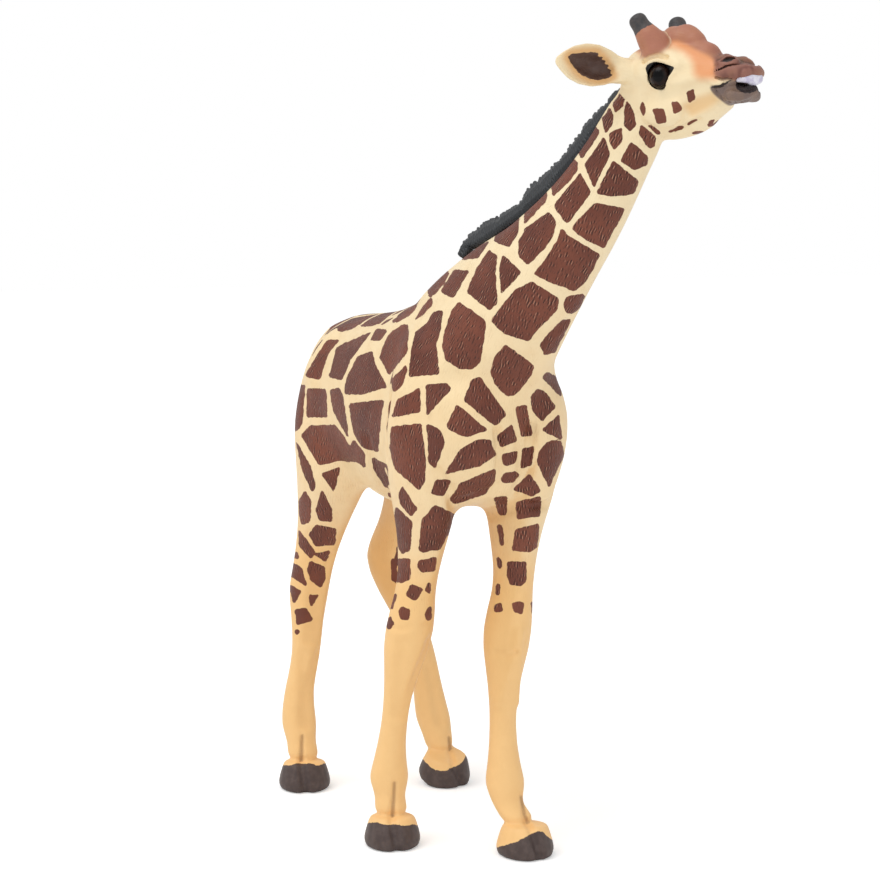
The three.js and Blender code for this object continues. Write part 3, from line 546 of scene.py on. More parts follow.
# Coat patches, read off the photograph as outlines in its pixels
COAT_PX = (
    # neck
    ((627, 101), (634, 113), (636, 125), (630, 132), (624, 125), (625, 110)),
    ((609, 134), (622, 128), (622, 140), (614, 150), (610, 143)),
    ((631, 142), (648, 157), (647, 165), (634, 170), (621, 161)),
    ((613, 161), (639, 182), (634, 194), (613, 196), (597, 193)),
    ((604, 137), (610, 154), (594, 187), (584.7, 165)),
    ((580, 173), (591, 192), (567, 224), (554, 206)),
    ((596, 203), (625, 209), (604, 248), (583, 238), (572, 228), (578, 220)),
    ((561.5, 228), (567, 235), (600, 255), (587, 280), (575, 291), (553, 283), (533.5, 274), (547, 258),
     (556.5, 242)),
    ((549, 212), (556, 222), (552, 238), (543, 250), (535, 258), (528, 265), (519, 256), (518.5, 243),
     (526, 228)),
    ((532, 282), (559, 299), (557, 310), (537, 330), (529, 341), (505, 334), (491, 321), (515, 290)),
    ((489, 250), (497, 256), (495, 272), (497, 303), (489, 310), (467, 292), (477, 268)),
    ((503, 255), (521, 272), (501, 294), (500, 269)),
    ((494, 241), (499, 228), (516.5, 211), (519, 219), (518, 231), (509.5, 247)),
    ((523.8, 224.6), (525, 212), (543, 188), (547.5, 194.5), (546, 201), (527, 221.5)),
    ((553, 196), (551, 184), (572, 157), (578, 164), (576.6, 171.5), (568.3, 182)),
    ((582, 158.5), (577, 149), (594, 126), (600, 131.5), (590.5, 146)),
    ((604.5, 130), (602, 119), (610, 108), (613, 114), (612, 124), (606, 133)),
    ((615, 113), (613, 104), (621, 92), (626, 94), (622, 107)),
    ((641, 125), (656, 137), (654, 147), (649, 148), (639, 134)),
    ((564, 304), (567, 297), (585, 294), (582, 304), (573, 314), (566, 312)),
    ((540, 345), (546, 337), (562, 320), (571, 320), (555, 352), (545, 355)),
    ((461, 260), (468, 251), (489, 241), (478, 258)),
    ((441, 292), (454, 270), (469, 271), (453, 298)),
    ((429, 297), (428, 290), (442, 270), (449, 272), (445, 282), (436, 293)),
    ((459, 302), (485, 320), (485, 330), (480, 362), (472, 369), (460, 369), (446, 360),
     (442, 347), (444, 335), (452, 310)),
    # shoulder
    ((506, 345), (534, 366), (530, 377), (515, 395), (507, 396), (496, 385), (490, 372), (496, 355)),
    ((542, 377), (547, 372), (562, 380), (561, 397)),
    ((531, 397), (537, 389), (545, 392), (556, 407), (542, 421), (532, 410)),
    ((542, 430), (559, 415), (562, 440)),
    ((539, 452), (549, 441), (561, 441), (564, 455), (549, 487), (537, 462)),
    ((516, 407), (526, 405), (532, 435), (521, 436)),
    ((497, 437), (512, 424), (517, 441), (501, 447)),
    ((502, 455), (517.5, 451), (515.5, 463), (504, 466)),
    ((522.5, 449), (534, 446), (531.5, 464.5), (520.5, 469)),
    ((501, 479), (504, 473.5), (516, 471.5), (519, 475), (513, 482), (504, 483)),
    ((513, 489.5), (529.5, 474), (541, 491), (532, 496)),
    ((445, 474), (460, 450), (477, 440), (490, 440), (496, 455), (480, 466)),
    ((450, 500), (460, 484), (495, 469), (495, 480), (485, 494), (455, 504)),
    ((431, 494), (436, 480), (451, 480), (444, 496)),
    ((464, 400), (472, 380), (480, 377), (506, 415), (495, 426)),
    ((447, 426), (457, 405), (487, 430), (466, 437), (450, 430)),
    ((426, 385), (447, 383), (451, 389), (427, 415)),
    ((427, 424), (440, 430), (445, 442), (435, 469), (429, 462)),
    ((391, 427), (421, 424), (425, 455), (425, 480), (419, 490), (395, 469), (390, 450)),
    ((392, 417), (397, 400), (420, 388), (420, 412)),
    # trunk
    ((409, 377), (411.5, 350), (416, 332), (428, 322.5), (433.5, 312), (442.5, 311), (440, 330),
     (436, 345), (439, 374), (424, 375)),
    ((379.5, 357), (386.7, 339), (391.7, 331.7), (403, 324.3), (408.3, 325), (407.3, 352), (389, 375)),
    ((391, 380), (406, 365), (407, 370), (402, 385), (394, 392)),
    ((345, 394), (346, 380), (357, 357), (372, 351), (376, 367), (387, 387), (362, 394)),
    ((329, 377), (337, 347), (371, 332), (350, 360), (342, 380)),
    ((305, 376), (327, 340), (339, 340), (327, 355), (320, 380)),
    ((370, 340), (377, 329), (387, 330), (381, 340)),
    ((336.7, 330), (343, 324), (351.7, 320.5), (361, 320), (355, 327.5), (341.7, 331.7)),
    ((360, 325.5), (371.7, 317.5), (388.3, 314), (393.5, 316), (386.7, 321), (363.5, 327)),
    ((363.5, 315.5), (370, 309), (388, 309), (381, 314), (366, 316.5)),
    ((392, 321.5), (397, 317.5), (410, 308), (417.5, 304.5), (414.5, 310.5), (406.5, 317), (395, 322.5)),
    ((415, 320), (418.5, 313.5), (424, 305), (431.7, 297), (433, 303), (427.5, 310), (420, 317)),
    ((307, 389), (326, 389), (327, 417), (307, 417)),
    ((296, 385), (305, 385), (302, 425), (295, 432)),
    ((330, 390), (340, 388), (343.3, 398), (345.5, 415), (348.5, 438), (342, 427), (332.5, 408)),
    ((349.2, 404), (351, 420), (354.5, 434), (358.5, 442), (363, 447.5), (378, 451.7), (380.4, 420),
     (383.5, 400)),
    ((301, 435), (310, 426), (335, 425), (341, 432), (350.5, 447.5), (353.5, 440), (360, 447),
     (364.5, 454), (365.3, 468), (357.5, 462), (340, 460.5), (319, 465)),
    ((296, 442), (310, 465), (316, 487), (312, 492), (302, 470)),
    ((321, 474), (340, 467), (334, 492)),
    ((372, 457), (387, 465), (389, 492), (374, 470)),
    # right hindleg
    ((299, 500), (305, 491), (311, 500), (310, 522), (302, 525), (299, 512)),
    ((316, 510), (322, 490), (332, 510), (332, 522), (319, 520)),
    ((309, 534), (316, 525), (336, 529), (335, 545), (315, 546)),
    ((299, 530), (315, 552), (311, 559), (299, 545)),
    ((292, 557), (297, 551), (299, 559)),
    ((314, 554), (330, 551), (326, 562)),
    ((287, 570), (291, 562), (301, 567), (307, 586), (290, 576)),
    ((307, 570), (310, 561), (325, 567), (325, 580), (321, 588), (311, 580)),
    ((289, 585), (302, 591), (294, 604)),
    ((309, 595), (319, 595), (311, 607)),
    ((295, 610), (306, 608), (313, 620), (297, 625)),
    ((295, 630), (299, 630), (299, 634), (295, 634)),
    # right foreleg
    ((399, 495), (402, 486), (417, 509), (411, 516), (401, 505)),
    ((394, 520), (396, 507), (412, 522), (410, 550), (402, 554), (395, 540)),
    ((419, 550), (422, 520), (435, 505), (456, 515), (452, 527), (440, 549), (422, 552)),
    ((391, 559), (410, 559), (410, 579), (402, 583), (392, 581)),
    ((417, 567), (419, 561), (437, 557), (435, 571), (422, 572)),
    ((406, 595), (411, 584), (423, 589), (416, 601)),
    ((425, 590), (428, 582), (431, 584), (430, 594)),
    ((389, 606), (391, 595), (397, 594), (392, 610)),
    ((399, 610), (402, 606), (410, 610), (409, 620), (400, 619)),
    ((425, 615), (429, 607), (432, 607), (431, 619), (426, 621)),
    ((386, 626), (390, 616), (394, 624), (390, 630)),
    # left foreleg
    ((494, 497), (507, 497), (506, 515), (499, 515)),
    ((516, 502), (541, 497), (540, 516), (517, 519)),
    ((497, 525), (502, 525), (504, 545), (500, 545)),
    ((512, 550), (516, 529), (539, 524), (537, 547), (530, 552)),
    ((507, 562), (526, 562), (526, 580), (522, 586), (510, 584), (507, 576)),
    ((512, 603), (524, 602), (522, 614), (514, 612)),
    ((494, 606), (501, 602), (503, 611), (495, 612)),
    ((497, 557), (501, 559), (502, 568), (498, 568)),
    ((496, 584), (500, 585), (499, 595), (496, 594)),
    ((531, 602), (536, 603), (535, 615), (532, 614)),
)

# Cheek spots, by pixels of the near side. They are mirrored to the far side.
CHEEK_PX = (
    ((639.4, 107), (642.7, 100.5), (646.4, 109.5), (643.7, 117)),
    ((652.4, 109), (664.5, 108), (666.8, 123.3), (656.8, 124)),
    ((670.7, 102.2), (678.5, 101), (682.9, 110), (673.8, 114.3)),
    ((685.6, 92.2), (694, 88.5), (695.3, 99.2), (689, 103)),
    ((647.3, 126), (650.5, 124.3), (660.8, 132.6), (658.5, 135.5)),
    ((668, 131.5), (677, 126.6), (684.8, 126), (683.5, 129), (670, 133)),
    ((686.5, 124), (690, 120.5), (697, 118.5), (698, 120.5), (689.5, 125.5)),
    ((691.6, 134.2), (694, 131), (705, 131), (703, 133.8)),
    ((707, 125.7), (710, 120.3), (715.5, 119.2), (711.7, 127.9)),
)

# How much of a patch's corner is cut off, and the most of a side that it may take
CORNER_PX = 1.3
LARGEST_CORNER = 0.3


def rounded(outline):
    """An outline with its corners cut off, so that they come out soft."""
    outline = np.array(outline, float)
    after = np.roll(outline, -1, 0)
    side = after - outline
    share = np.minimum(LARGEST_CORNER, CORNER_PX / np.maximum(lengths(side), 1e-6))[:, None]
    return np.stack([outline + side * share, after - side * share], 1).reshape(-1, 2)


def outline_depth(points, outline):
    """How far points lie inside an outline; below zero outside it."""
    outline = rounded(outline)
    inside = np.zeros(len(points), bool)
    best = np.full(len(points), np.inf)
    for a, b in zip(outline, np.roll(outline, -1, 0)):
        side = b - a
        t = np.clip((points - a) @ side / max(side @ side, 1e-9), 0, 1)
        best = np.minimum(best, lengths(points - a - t[:, None] * side))
        crosses = (a[1] > points[:, 1]) != (b[1] > points[:, 1])
        if abs(side[1]) > 1e-9:
            reach = a[0] + (points[:, 1] - a[1]) * side[0] / side[1]
            inside ^= crosses & (points[:, 0] < reach)
    return np.where(inside, best, -best)


# A depth that means far outside every patch, and how many rounds the owner and the sight are evened
OUTSIDE = -9.0
OWNER_SPREAD = 6
SEEN_SPREAD = 12


class Skin:
    """A skin's points with what the paint needs to know at each of them."""

    def __init__(self, points, quads, grid, nodes):
        self.points = points
        self.quads = quads
        self.normals = vertex_normals(points, quads)
        distances = np.stack([grid.sample(node_fields[node], points) for node in nodes], 1)
        first = np.argmin(distances, 1)
        shares = np.stack([spread_over(first == i, quads, OWNER_SPREAD) for i in range(len(nodes))], 1)
        self.owner = np.array(nodes)[np.argmax(shares, 1)]
        self.pixels = to_pixels(points)
        self.facing = -np.sum(self.normals * units(points - eye_point), 1)
        local = to_head(points)
        local[:, 1] = -np.abs(local[:, 1])
        self.near_side = to_pixels(from_head(local))


def spread_over(values, quads, rounds):
    """Values at the points of a skin, evened out with their neighbours' a number of times."""
    counts = np.bincount(quads.ravel(), minlength=len(values))
    for _ in range(rounds):
        means = values[quads].mean(1)
        total = np.zeros_like(values, float)
        for corner in range(4):
            total += np.bincount(quads[:, corner], means, len(values))
        values = total / counts
    return values


# Sight is told in cells of the photograph. A point counts as seen when it lies hardly behind the
# nearest one in its cell and faces the camera; the trunk's top and back have to face it more.
SIGHT_CELL_PX = 4
SIGHT_SLACK = 3.0
GRAZING_SLACK = 7.0
TURNED_AWAY = 0.3
LEAST_FACING = -0.15
TRUNK_LEAST_FACING = 0.2


def seen_from_photo(skins):
    """Marks the points of the skins that the photograph's camera sees."""
    size = PHOTO_PX // SIGHT_CELL_PX + 1
    nearest = np.full((size, size), np.inf)
    cells = []
    for skin in skins:
        cell = np.clip(skin.pixels[:, :2] // SIGHT_CELL_PX, 0, size - 1).astype(int)
        np.minimum.at(nearest, (cell[:, 0], cell[:, 1]), skin.pixels[:, 2])
        cells.append(cell)
    for skin, cell in zip(skins, cells):
        front = nearest[cell[:, 0], cell[:, 1]]
        reach = SIGHT_SLACK + GRAZING_SLACK * (1 - np.clip(skin.facing, 0, 1)) ** 2
        turned = (skin.normals[:, 2] > TURNED_AWAY) | (skin.normals[:, 0] < -TURNED_AWAY)
        least = np.where((skin.owner == "trunk") & turned, TRUNK_LEAST_FACING, LEAST_FACING)
        seen = (skin.pixels[:, 2] < front + reach) * (skin.facing > least)
        skin.seen = smooth_step(0.3, 0.7, spread_over(seen, skin.quads, SEEN_SPREAD))


# The coat on the far side: patches round seeds, kept apart by pale lines
SEED = 7
MOST_SEEDS = 1000
SEED_TRIES = 9000
POINTS_AT_ONCE = 20000
SPARE_TONES = 200
LINE_WIDTH = 1.6
EDGE_SHARPNESS = 4.0
TRACED_GROWTH = 0.12
OUTLINE_MARGIN_PX = 9
# How far apart the seeds lie at a low and at a high place of a part, and the heights of both places
SEED_SPACING = {
    "neck": (9.775, 6.375, 110, 170),
    "trunk": (10.5, 10.5, 0, 1),
    "fore": (4.092, 6.6, 56, 90),
    "hind": (4.216, 6.8, 44, 90),
    "tail": (8.5, 8.5, 0, 1),
}


def spacing_at(owner, height):
    part = next(part for part in SEED_SPACING if owner.startswith(part))
    low, high, start, end = SEED_SPACING[part]
    return low + (high - low) * smooth_step(start, end, height)


def patch_seeds(skin):
    """Seeds at the middles of the traced patches, then evenly strewn where the camera doesn't see."""
    seeds = []
    for outline in COAT_PX:
        hit = body_tree.ray_cast(Vector(eye_point), Vector(pixel_ray(*np.mean(outline, 0))))[0]
        if hit is not None:
            seeds.append(np.array(hit))
    count = len(seeds)
    seeds = np.concatenate([seeds, np.zeros((MOST_SEEDS, 3))])
    rng = np.random.default_rng(SEED)
    hidden = np.nonzero(skin.seen < 0.1)[0]
    for i in rng.permutation(hidden)[:SEED_TRIES]:
        point = skin.points[i]
        gap = spacing_at(skin.owner[i], point[2])
        if np.min(((seeds[:count] - point) ** 2).sum(1)) > gap * gap:
            seeds[count] = point
            count += 1
    return seeds[:count]


def seeded_coat(points, seeds):
    """How far points lie inside the patches round the seeds, and each point's nearest seed."""
    depth = np.empty(len(points))
    nearest = np.empty(len(points), int)
    for start in range(0, len(points), POINTS_AT_ONCE):
        part = slice(start, start + POINTS_AT_ONCE)
        squares = ((points[part, None] - seeds[None]) ** 2).sum(2)
        first = np.argmin(squares, 1)
        own = squares[np.arange(len(first)), first]
        apart = lengths(seeds[first][:, None] - seeds[None])
        edges = (squares - own[:, None]) / (2 * np.maximum(apart, 0.1))
        edges[np.arange(len(first)), first] = 99
        depth[part] = -np.log(np.exp(-edges * EDGE_SHARPNESS).sum(1)) / EDGE_SHARPNESS
        nearest[part] = first
    return depth, nearest


# Where the coat ends: below a height on the legs, and where the belly or a leg's inner side turns
# away. There the margin falls from COVERED_DEPTH by BARE_DEPTH.
LEG_PATCHES_END = {"fore": 56.0, "hind": 44.0}
LEG_END_SLOPE = 0.5
COVERED_DEPTH = 3
BARE_DEPTH = 6
BELLY_TURN = (-0.45, -0.75)
INNER_TURN = (0.15, 0.55)
INNER_BARE_BELOW = (96, 84)


def turned_inwards(skin):
    """How much points of the legs face the figure's middle plane."""
    return skin.normals[:, 1] * np.where(np.char.endswith(skin.owner, "left"), -1, 1)


def bare_margin(skin):
    """How far points lie inside the region that carries patches."""
    height = skin.points[:, 2]
    margin = np.full(len(height), -OUTSIDE)
    for part, end in LEG_PATCHES_END.items():
        leg = np.char.startswith(skin.owner, part)
        margin[leg] = (height[leg] - end) * LEG_END_SLOPE
    belly = smooth_step(*BELLY_TURN, skin.normals[:, 2])
    inner = smooth_step(*INNER_TURN, turned_inwards(skin)) * smooth_step(*INNER_BARE_BELOW, height)
    bare = np.maximum(belly, inner * np.isin(skin.owner, LEGS))
    return np.minimum(margin, COVERED_DEPTH - BARE_DEPTH * bare)


def paint_coat(skins):
    """Patches from the photograph where it shows the coat, and seeded patches elsewhere."""
    seeds = patch_seeds(skins[0])
    tones = np.random.default_rng(SEED).random(len(seeds) + SPARE_TONES)
    for skin in skins:
        depth = np.full(len(skin.points), OUTSIDE)
        nearest = np.zeros(len(skin.points), int)
        needed = (skin.seen < 0.99) & ~np.isin(skin.owner, HEAD_NODES)
        depth[needed], nearest[needed] = seeded_coat(skin.points[needed], seeds)
        far = np.minimum(depth - LINE_WIDTH / 2, bare_margin(skin))
        far_tone = tones[nearest]
        scale = LENS_PX / skin.pixels[:, 2]
        near = np.full(len(far), OUTSIDE)
        near_tone = np.full(len(far), 0.5)
        flat = skin.pixels[:, :2]
        for count, outline in enumerate(COAT_PX, 1):
            low = np.min(outline, 0) - OUTLINE_MARGIN_PX
            high = np.max(outline, 0) + OUTLINE_MARGIN_PX
            close = np.all((flat > low) & (flat < high), 1)
            inside = outline_depth(flat[close], outline) / scale[close] + TRACED_GROWTH
            better = inside > near[close]
            index = np.nonzero(close)[0][better]
            near[index] = inside[better]
            near_tone[index] = tones[-count]
        skin.coat = far + (near - far) * skin.seen
        skin.tone = np.where(skin.seen > 0.5, near_tone, far_tone)


body = Skin(body_points, body_quads, body_grid, BODY_NODES)
head = Skin(head_points, head_quads, head_grid, HEAD_NODES)
NECK_OWNS_BELOW = 9.0
low_head = (head.points - neck_cut) @ neck_aim < NECK_OWNS_BELOW
head.owner[low_head & (head.owner == "head")] = "neck"
seen_from_photo((body, head))
paint_coat((body, head))


def linear(red, green, blue):
    """A colour given as it looks on a screen, in Blender's linear numbers."""
    value = np.array((red, green, blue)) / 255
    return np.where(value <= 0.04045, value / 12.92, ((value + 0.055) / 1.055) ** 2.4)


CREAM = linear(247, 227, 187)
TAN = linear(248, 202, 138)
GOLD = linear(231, 182, 116)
BELLY = linear(246, 226, 184)
ORANGE = linear(230, 142, 86)
EAR_TAN = linear(226, 168, 98)
HORN_BROWN = linear(176, 116, 94)
MUZZLE_BROWN = linear(120, 76, 66)
LIP_GREY = linear(116, 98, 92)
# Painted shade for the muzzle's hollows and a painted highlight for its ridges
SHADE = linear(58, 32, 30)
GLEAM = linear(176, 122, 106)
MUZZLE_BEGINS, MUZZLE_FULL = 18, 23
HOLLOW_SPREAD = 14
HORN_SPREAD = 10
COMB_SPREAD = 12
INK_COLOURS = {
    "hoof": linear(76, 63, 60),
    "cap": linear(60, 60, 62),
    "cup": linear(82, 58, 50),
    "eye": linear(16, 12, 12),
    # Painted shade, dark in the mouth's opening, the nostril and the lip's crease
    "mouth": linear(42, 33, 34),
}

# Dark hooves, as outlines in the photograph's pixels, and how high the dark reaches where the
# camera doesn't see it
HOOF_PX = {
    "hind_hoof_right": (
        (276, 768), (284, 765), (290, 766), (297, 763), (303, 764), (311, 763), (318, 766), (325, 763),
        (336, 768), (342, 806), (270, 806)),
    "fore_hoof_right": (
        (362, 824), (376, 822), (385, 825), (395, 824), (404, 826), (414, 824), (424, 828), (434, 868),
        (354, 868)),
    "fore_hoof_left": (
        (494, 848), (506, 845), (516, 842), (524, 838), (531, 834), (538, 831), (543, 832), (549, 838),
        (564, 846), (564, 880), (490, 880)),
    "hind_hoof_left": (
        (412, 750), (420, 753), (424.4, 761.4), (434, 769.8), (445.4, 771.2), (451, 767.7),
        (456.6, 766.3), (462.2, 762.8), (466, 755), (480, 752), (484, 806), (406, 806)),
}
HOOF_DARK_RISE = 5.8
LIFTED_HOOF_RISE = 7.8
HOOF_PAINT_ENDS = 14
# Painted shade: a soft brown line along the top of each cleft, where the crease lies in shadow
CLEFT_SHADE_BROWN = linear(128, 86, 58)
CREASE_PX = (0.3, 0.5, 0.7)
CREASE_SPREAD_PX = 2.4
CLEFT_SHADE_SHARE = 0.6
CREASE_LEAST_FACING = -0.3

# Face paint, by pixels of the near side: first soft sprayed shapes, then crisp dark ones
BROWN_PX = ((638, 52), (645.6, 49.5), (656.3, 45), (671.6, 40.5), (678, 41), (687, 44.5), (694.6, 49),
            (702.3, 52.8), (710, 56), (713.7, 59), (715.3, 65.8), (714.5, 72), (716.8, 76.5), (723.5, 79.5),
            (729, 79), (735, 81), (770, 83), (780, 40), (740, 0), (625, 0), (622, 40))
ORANGE_PX = ((640, 53), (650, 50.5), (660, 47.5), (672, 46), (683, 51), (690, 57), (694, 64), (695, 74),
             (700, 78), (716, 78), (730, 60), (700, 20), (625, 20))
LIP_PX = ((710.5, 86), (716, 85), (722, 85.5), (727, 83), (731, 80.5), (737, 81), (742, 84), (766, 84),
          (766, 92), (757, 97), (748, 103), (736, 107), (727, 105), (719, 99), (713, 93.5), (710, 89))
# Painted shade: soft gold in the cheek's hollow
CHEEK_SHADE_PX = ((684, 106), (697, 98), (713, 93), (719, 100), (706, 109), (692, 115))
EYE_PX = ((645.5, 67.5), (648, 64), (654.8, 61.5), (663.5, 63.2), (674.8, 67.2), (671.5, 73), (666, 80),
          (661.5, 87), (655.4, 89.2), (650.3, 85.5), (648.3, 77), (646, 71))
# Dark painted shade in the mouth's opening, the crease between the lips and the nostril
MOUTH_PX = ((736, 83), (741, 82.5), (748, 84.5), (762, 85), (759, 88), (754, 92), (747, 93.5), (740, 92),
            (736.5, 88.5))
LIP_LINE_PX = ((711, 86), (720, 84.8), (726, 82), (730, 79.3), (731.5, 80.8), (727, 83.8), (721, 87),
               (712, 88.4))
NOSTRIL_PX = ((722, 60.5), (724, 58.4), (729, 57.8), (734.5, 58.2), (733, 60.8), (727, 61.8), (723, 62.2))
CAP_PX = ((616, 0), (650, 0), (655, 22.5), (648, 26), (641, 29.5), (637.5, 33.5), (634, 37), (616, 40))
EAR_CUP_PX = ((567.6, 57.4), (570.6, 53.6), (582, 52.4), (593.6, 52.2), (599, 53), (597, 56.5), (603, 56.6),
              (601, 60), (606.5, 60.6), (604, 64), (609, 65.2), (607, 68), (611.8, 70), (609.3, 72.5),
              (613.5, 75), (608, 78.5), (598.2, 80.2), (590.5, 79), (581.3, 75.2), (576.7, 70.6), (570.6, 63))


def face_depth(skin, outline_px, nodes=("head",)):
    """How far points of some nodes lie inside a shape drawn on the near side, or its mirror image."""
    own = np.isin(skin.owner, nodes)
    depth = np.full(len(skin.points), OUTSIDE)
    place = skin.near_side[own]
    depth[own] = outline_depth(place[:, :2], outline_px) * place[:, 2] / LENS_PX
    return depth


def hollows(skin):
    """How far the skin lies under its own evened-out form, in millimetres."""
    even = np.stack([spread_over(skin.points[:, i], skin.quads, HOLLOW_SPREAD) for i in range(3)], 1)
    return np.sum((even - skin.points) * skin.normals, 1)


def spray(skin, colour, share):
    """Covers a share of the paint at each point of a skin with a colour."""
    share = np.asarray(share)[:, None]
    skin.paint = skin.paint * (1 - share) + colour * share


def undercoat(skin):
    """Soft sprayed colours under the patches, with some painted shade low on the figure and between the legs.
    """
    height = skin.points[:, 2]
    skin.paint = np.tile(CREAM, (len(height), 1))
    on_leg = np.isin(skin.owner, LEGS + HOOVES)
    spray(skin, BELLY, 0.6 * (skin.owner == "trunk"))
    # A light tan that deepens lower down the figure, partly sprayed paint and partly painted shade below the
    # lit top.
    spray(skin, TAN, 0.35 * smooth_step(150, 95, height))
    spray(skin, TAN, on_leg * smooth_step(76, 60, height))
    # Gold on the inner sides of the legs, partly sprayed paint and partly painted shade between the legs.
    inner = smooth_step(0.1, 0.6, turned_inwards(skin)) * on_leg
    spray(skin, GOLD, 0.6 * inner * smooth_step(20, 50, height))


def paint_head(skin):
    face = ("head", "neck")
    brown = smooth_step(-0.7, 0.7, face_depth(skin, BROWN_PX))
    orange = smooth_step(-1.6, 1.1, face_depth(skin, ORANGE_PX))
    # Painted shade in the cheek's hollow.
    spray(skin, GOLD, 0.6 * smooth_step(-1.2, 0.8, face_depth(skin, CHEEK_SHADE_PX, face)))
    spray(skin, ORANGE, 0.85 * orange)
    spray(skin, HORN_BROWN, brown)
    ahead = smooth_step(MUZZLE_BEGINS, MUZZLE_FULL, to_head(skin.points)[:, 0])
    spray(skin, MUZZLE_BROWN, brown * ahead)
    spray(skin, LIP_GREY, smooth_step(-0.25, 0.25, face_depth(skin, LIP_PX)))
    on_horn = np.char.startswith(skin.owner, "horn")
    spray(skin, HORN_BROWN, spread_over(on_horn, skin.quads, HORN_SPREAD))
    # Painted shade darkens the muzzle's hollows, and a painted highlight lightens its ridges.
    hollow = hollows(skin)
    spray(skin, SHADE, 0.85 * brown * ahead * smooth_step(0.01, 0.09, hollow))
    spray(skin, GLEAM, 0.4 * brown * ahead * smooth_step(-0.03, -0.13, hollow))
    skin.coat[np.isin(skin.owner, HEAD_NODES)] = OUTSIDE
    for outline_px in CHEEK_PX:
        skin.coat = np.maximum(skin.coat, face_depth(skin, outline_px, face))
    eye = face_depth(skin, EYE_PX)
    add_ink(skin, eye, "eye")
    skin.gloss = smooth_step(-0.2, 0.1, eye)
    # The mouth's opening, the nostril and the crease between the lips are dark with painted shade.
    for outline_px in (NOSTRIL_PX, MOUTH_PX, LIP_LINE_PX):
        add_ink(skin, face_depth(skin, outline_px), "mouth")
    add_ink(skin, face_depth(skin, CAP_PX, ("horn_right", "horn_left")), "cap")
    cup = face_depth(skin, EAR_CUP_PX, ("ear_right", "ear_left"))
    local_normals = skin.normals @ head_axes.T
    local_normals[:, 1] = -np.abs(local_normals[:, 1])
    cup[(local_normals @ head_axes) @ view_axis > 0] = OUTSIDE
    add_ink(skin, cup, "cup")
    spray(skin, EAR_TAN, 0.75 * smooth_step(-1.9, -0.2, cup))


def add_ink(skin, depth, kind):
    better = depth > skin.ink
    skin.ink[better] = depth[better]
    skin.ink_paint[better] = INK_COLOURS[kind]


def paint_hooves(skin):
    flat = skin.pixels[:, :2]
    scale = LENS_PX / skin.pixels[:, 2]
    for hoof, outline in HOOF_PX.items():
        leg = hoof.replace("fore_hoof", "foreleg").replace("hind_hoof", "hindleg")
        own = np.isin(skin.owner, (hoof, leg)) & (skin.points[:, 2] < HOOF_PAINT_ENDS)
        near = outline_depth(flat[own], outline) / scale[own]
        rise = LIFTED_HOOF_RISE if hoof == "hind_hoof_left" else HOOF_DARK_RISE
        far = rise - skin.points[own, 2]
        depth = np.full(len(own), OUTSIDE)
        depth[own] = far + (near - far) * skin.seen[own]
        add_ink(skin, depth, "hoof")
    # Painted shade along the top of each cleft.
    for leg, chain_px in CLEFTS_PX.items():
        own = (skin.owner == leg) & (skin.facing > CREASE_LEAST_FACING)
        away = chain_field(flat, np.array(chain_px[:3]), CREASE_PX)
        spray(skin, CLEFT_SHADE_BROWN, CLEFT_SHADE_SHARE * own * (1 - smooth_step(0, CREASE_SPREAD_PX, away)))


def hairiness(skin):
    """How strongly the moulded hair shows: full on the coat, faint on the legs, hooves and face."""
    hairy = np.ones(len(skin.points))
    on_leg = np.isin(skin.owner, LEGS + HOOVES)
    hairy[on_leg] = 0.16 + 0.84 * smooth_step(48, 66, skin.points[on_leg, 2])
    hairy[skin.owner == "head"] = 0.3
    for node in HEAD_NODES[1:]:
        hairy[skin.owner == node] = 0.6
    return hairy


def hair_comb(skin):
    """Which way the moulded hair's grooves follow each other: across the hair, along the skin."""
    hair = np.tile((0, 0, -1.0), (len(skin.points), 1))
    hair[skin.owner == "trunk"] = unit((-0.35, 0, -0.94))
    hair[skin.owner == "neck"] = unit(-neck_aim + np.array((0, 0, -0.7)))
    hair[np.isin(skin.owner, HEAD_NODES)] = -head_ahead
    for _ in range(COMB_SPREAD):
        for a, b in ((0, 1), (1, 2), (2, 3), (3, 0)):
            mean = (hair[skin.quads[:, a]] + hair[skin.quads[:, b]]) / 2
            hair[skin.quads[:, a]] = mean
            hair[skin.quads[:, b]] = mean
    return units(np.cross(skin.normals, hair))


for skin in (body, head):
    undercoat(skin)
    skin.ink = np.full(len(skin.points), OUTSIDE)
    skin.gloss = np.zeros(len(skin.points))
    skin.ink_paint = np.tile(INK_COLOURS["hoof"], (len(skin.points), 1))
    skin.comb = hair_comb(skin)
    skin.hairy = hairiness(skin)
paint_hooves(body)
paint_head(head)


# Pieces: each skin is parted into pieces, one for each CAD node that it stands for
def boundary_loops(quads):
    """The open edges of some quads, as loops of points in the quads' own turning sense."""
    starts = quads.T.ravel()
    ends = np.roll(quads, -1, 1).T.ravel()
    size = quads.max() + 1
    lone = ~np.isin(starts * size + ends, ends * size + starts)
    after = {}
    for i, j in zip(starts[lone].tolist(), ends[lone].tolist()):
        after.setdefault(i, []).append(j)
    loops = []
    while after:
        start = next(iter(after))
        loop = [start]
        while True:
            following = after[loop[-1]]
            point = following.pop()
            if not following:
                del after[loop[-1]]
            if point == start or point not in after:
                break
            loop.append(point)
        loops.append(loop)
    return loops


def add_piece(name, points, faces, values_at_points):
    """A smooth object, with values at its points for the materials to read."""
    mesh = bpy.data.meshes.new(name)
    mesh.from_pydata((np.asarray(points) * MM).tolist(), [], faces)
    mesh.shade_smooth()
    for key, values in values_at_points.items():
        kind = "FLOAT" if np.ndim(values) == 1 else "FLOAT_VECTOR"
        field = "value" if np.ndim(values) == 1 else "vector"
        data = np.ascontiguousarray(values, np.float32).ravel()
        mesh.attributes.new(key, kind, "POINT").data.foreach_set(field, data)
    piece = bpy.data.objects.new(name, mesh)
    scene.collection.objects.link(piece)
    return piece


SKIN_VALUES = ("coat", "tone", "ink", "comb", "gloss", "hairy", "paint", "ink_paint")

# The fewest points of a border that is closed with a cap, and how far the cap's rim dips
SMALLEST_CAP = 8
CAP_DIP = 0.5


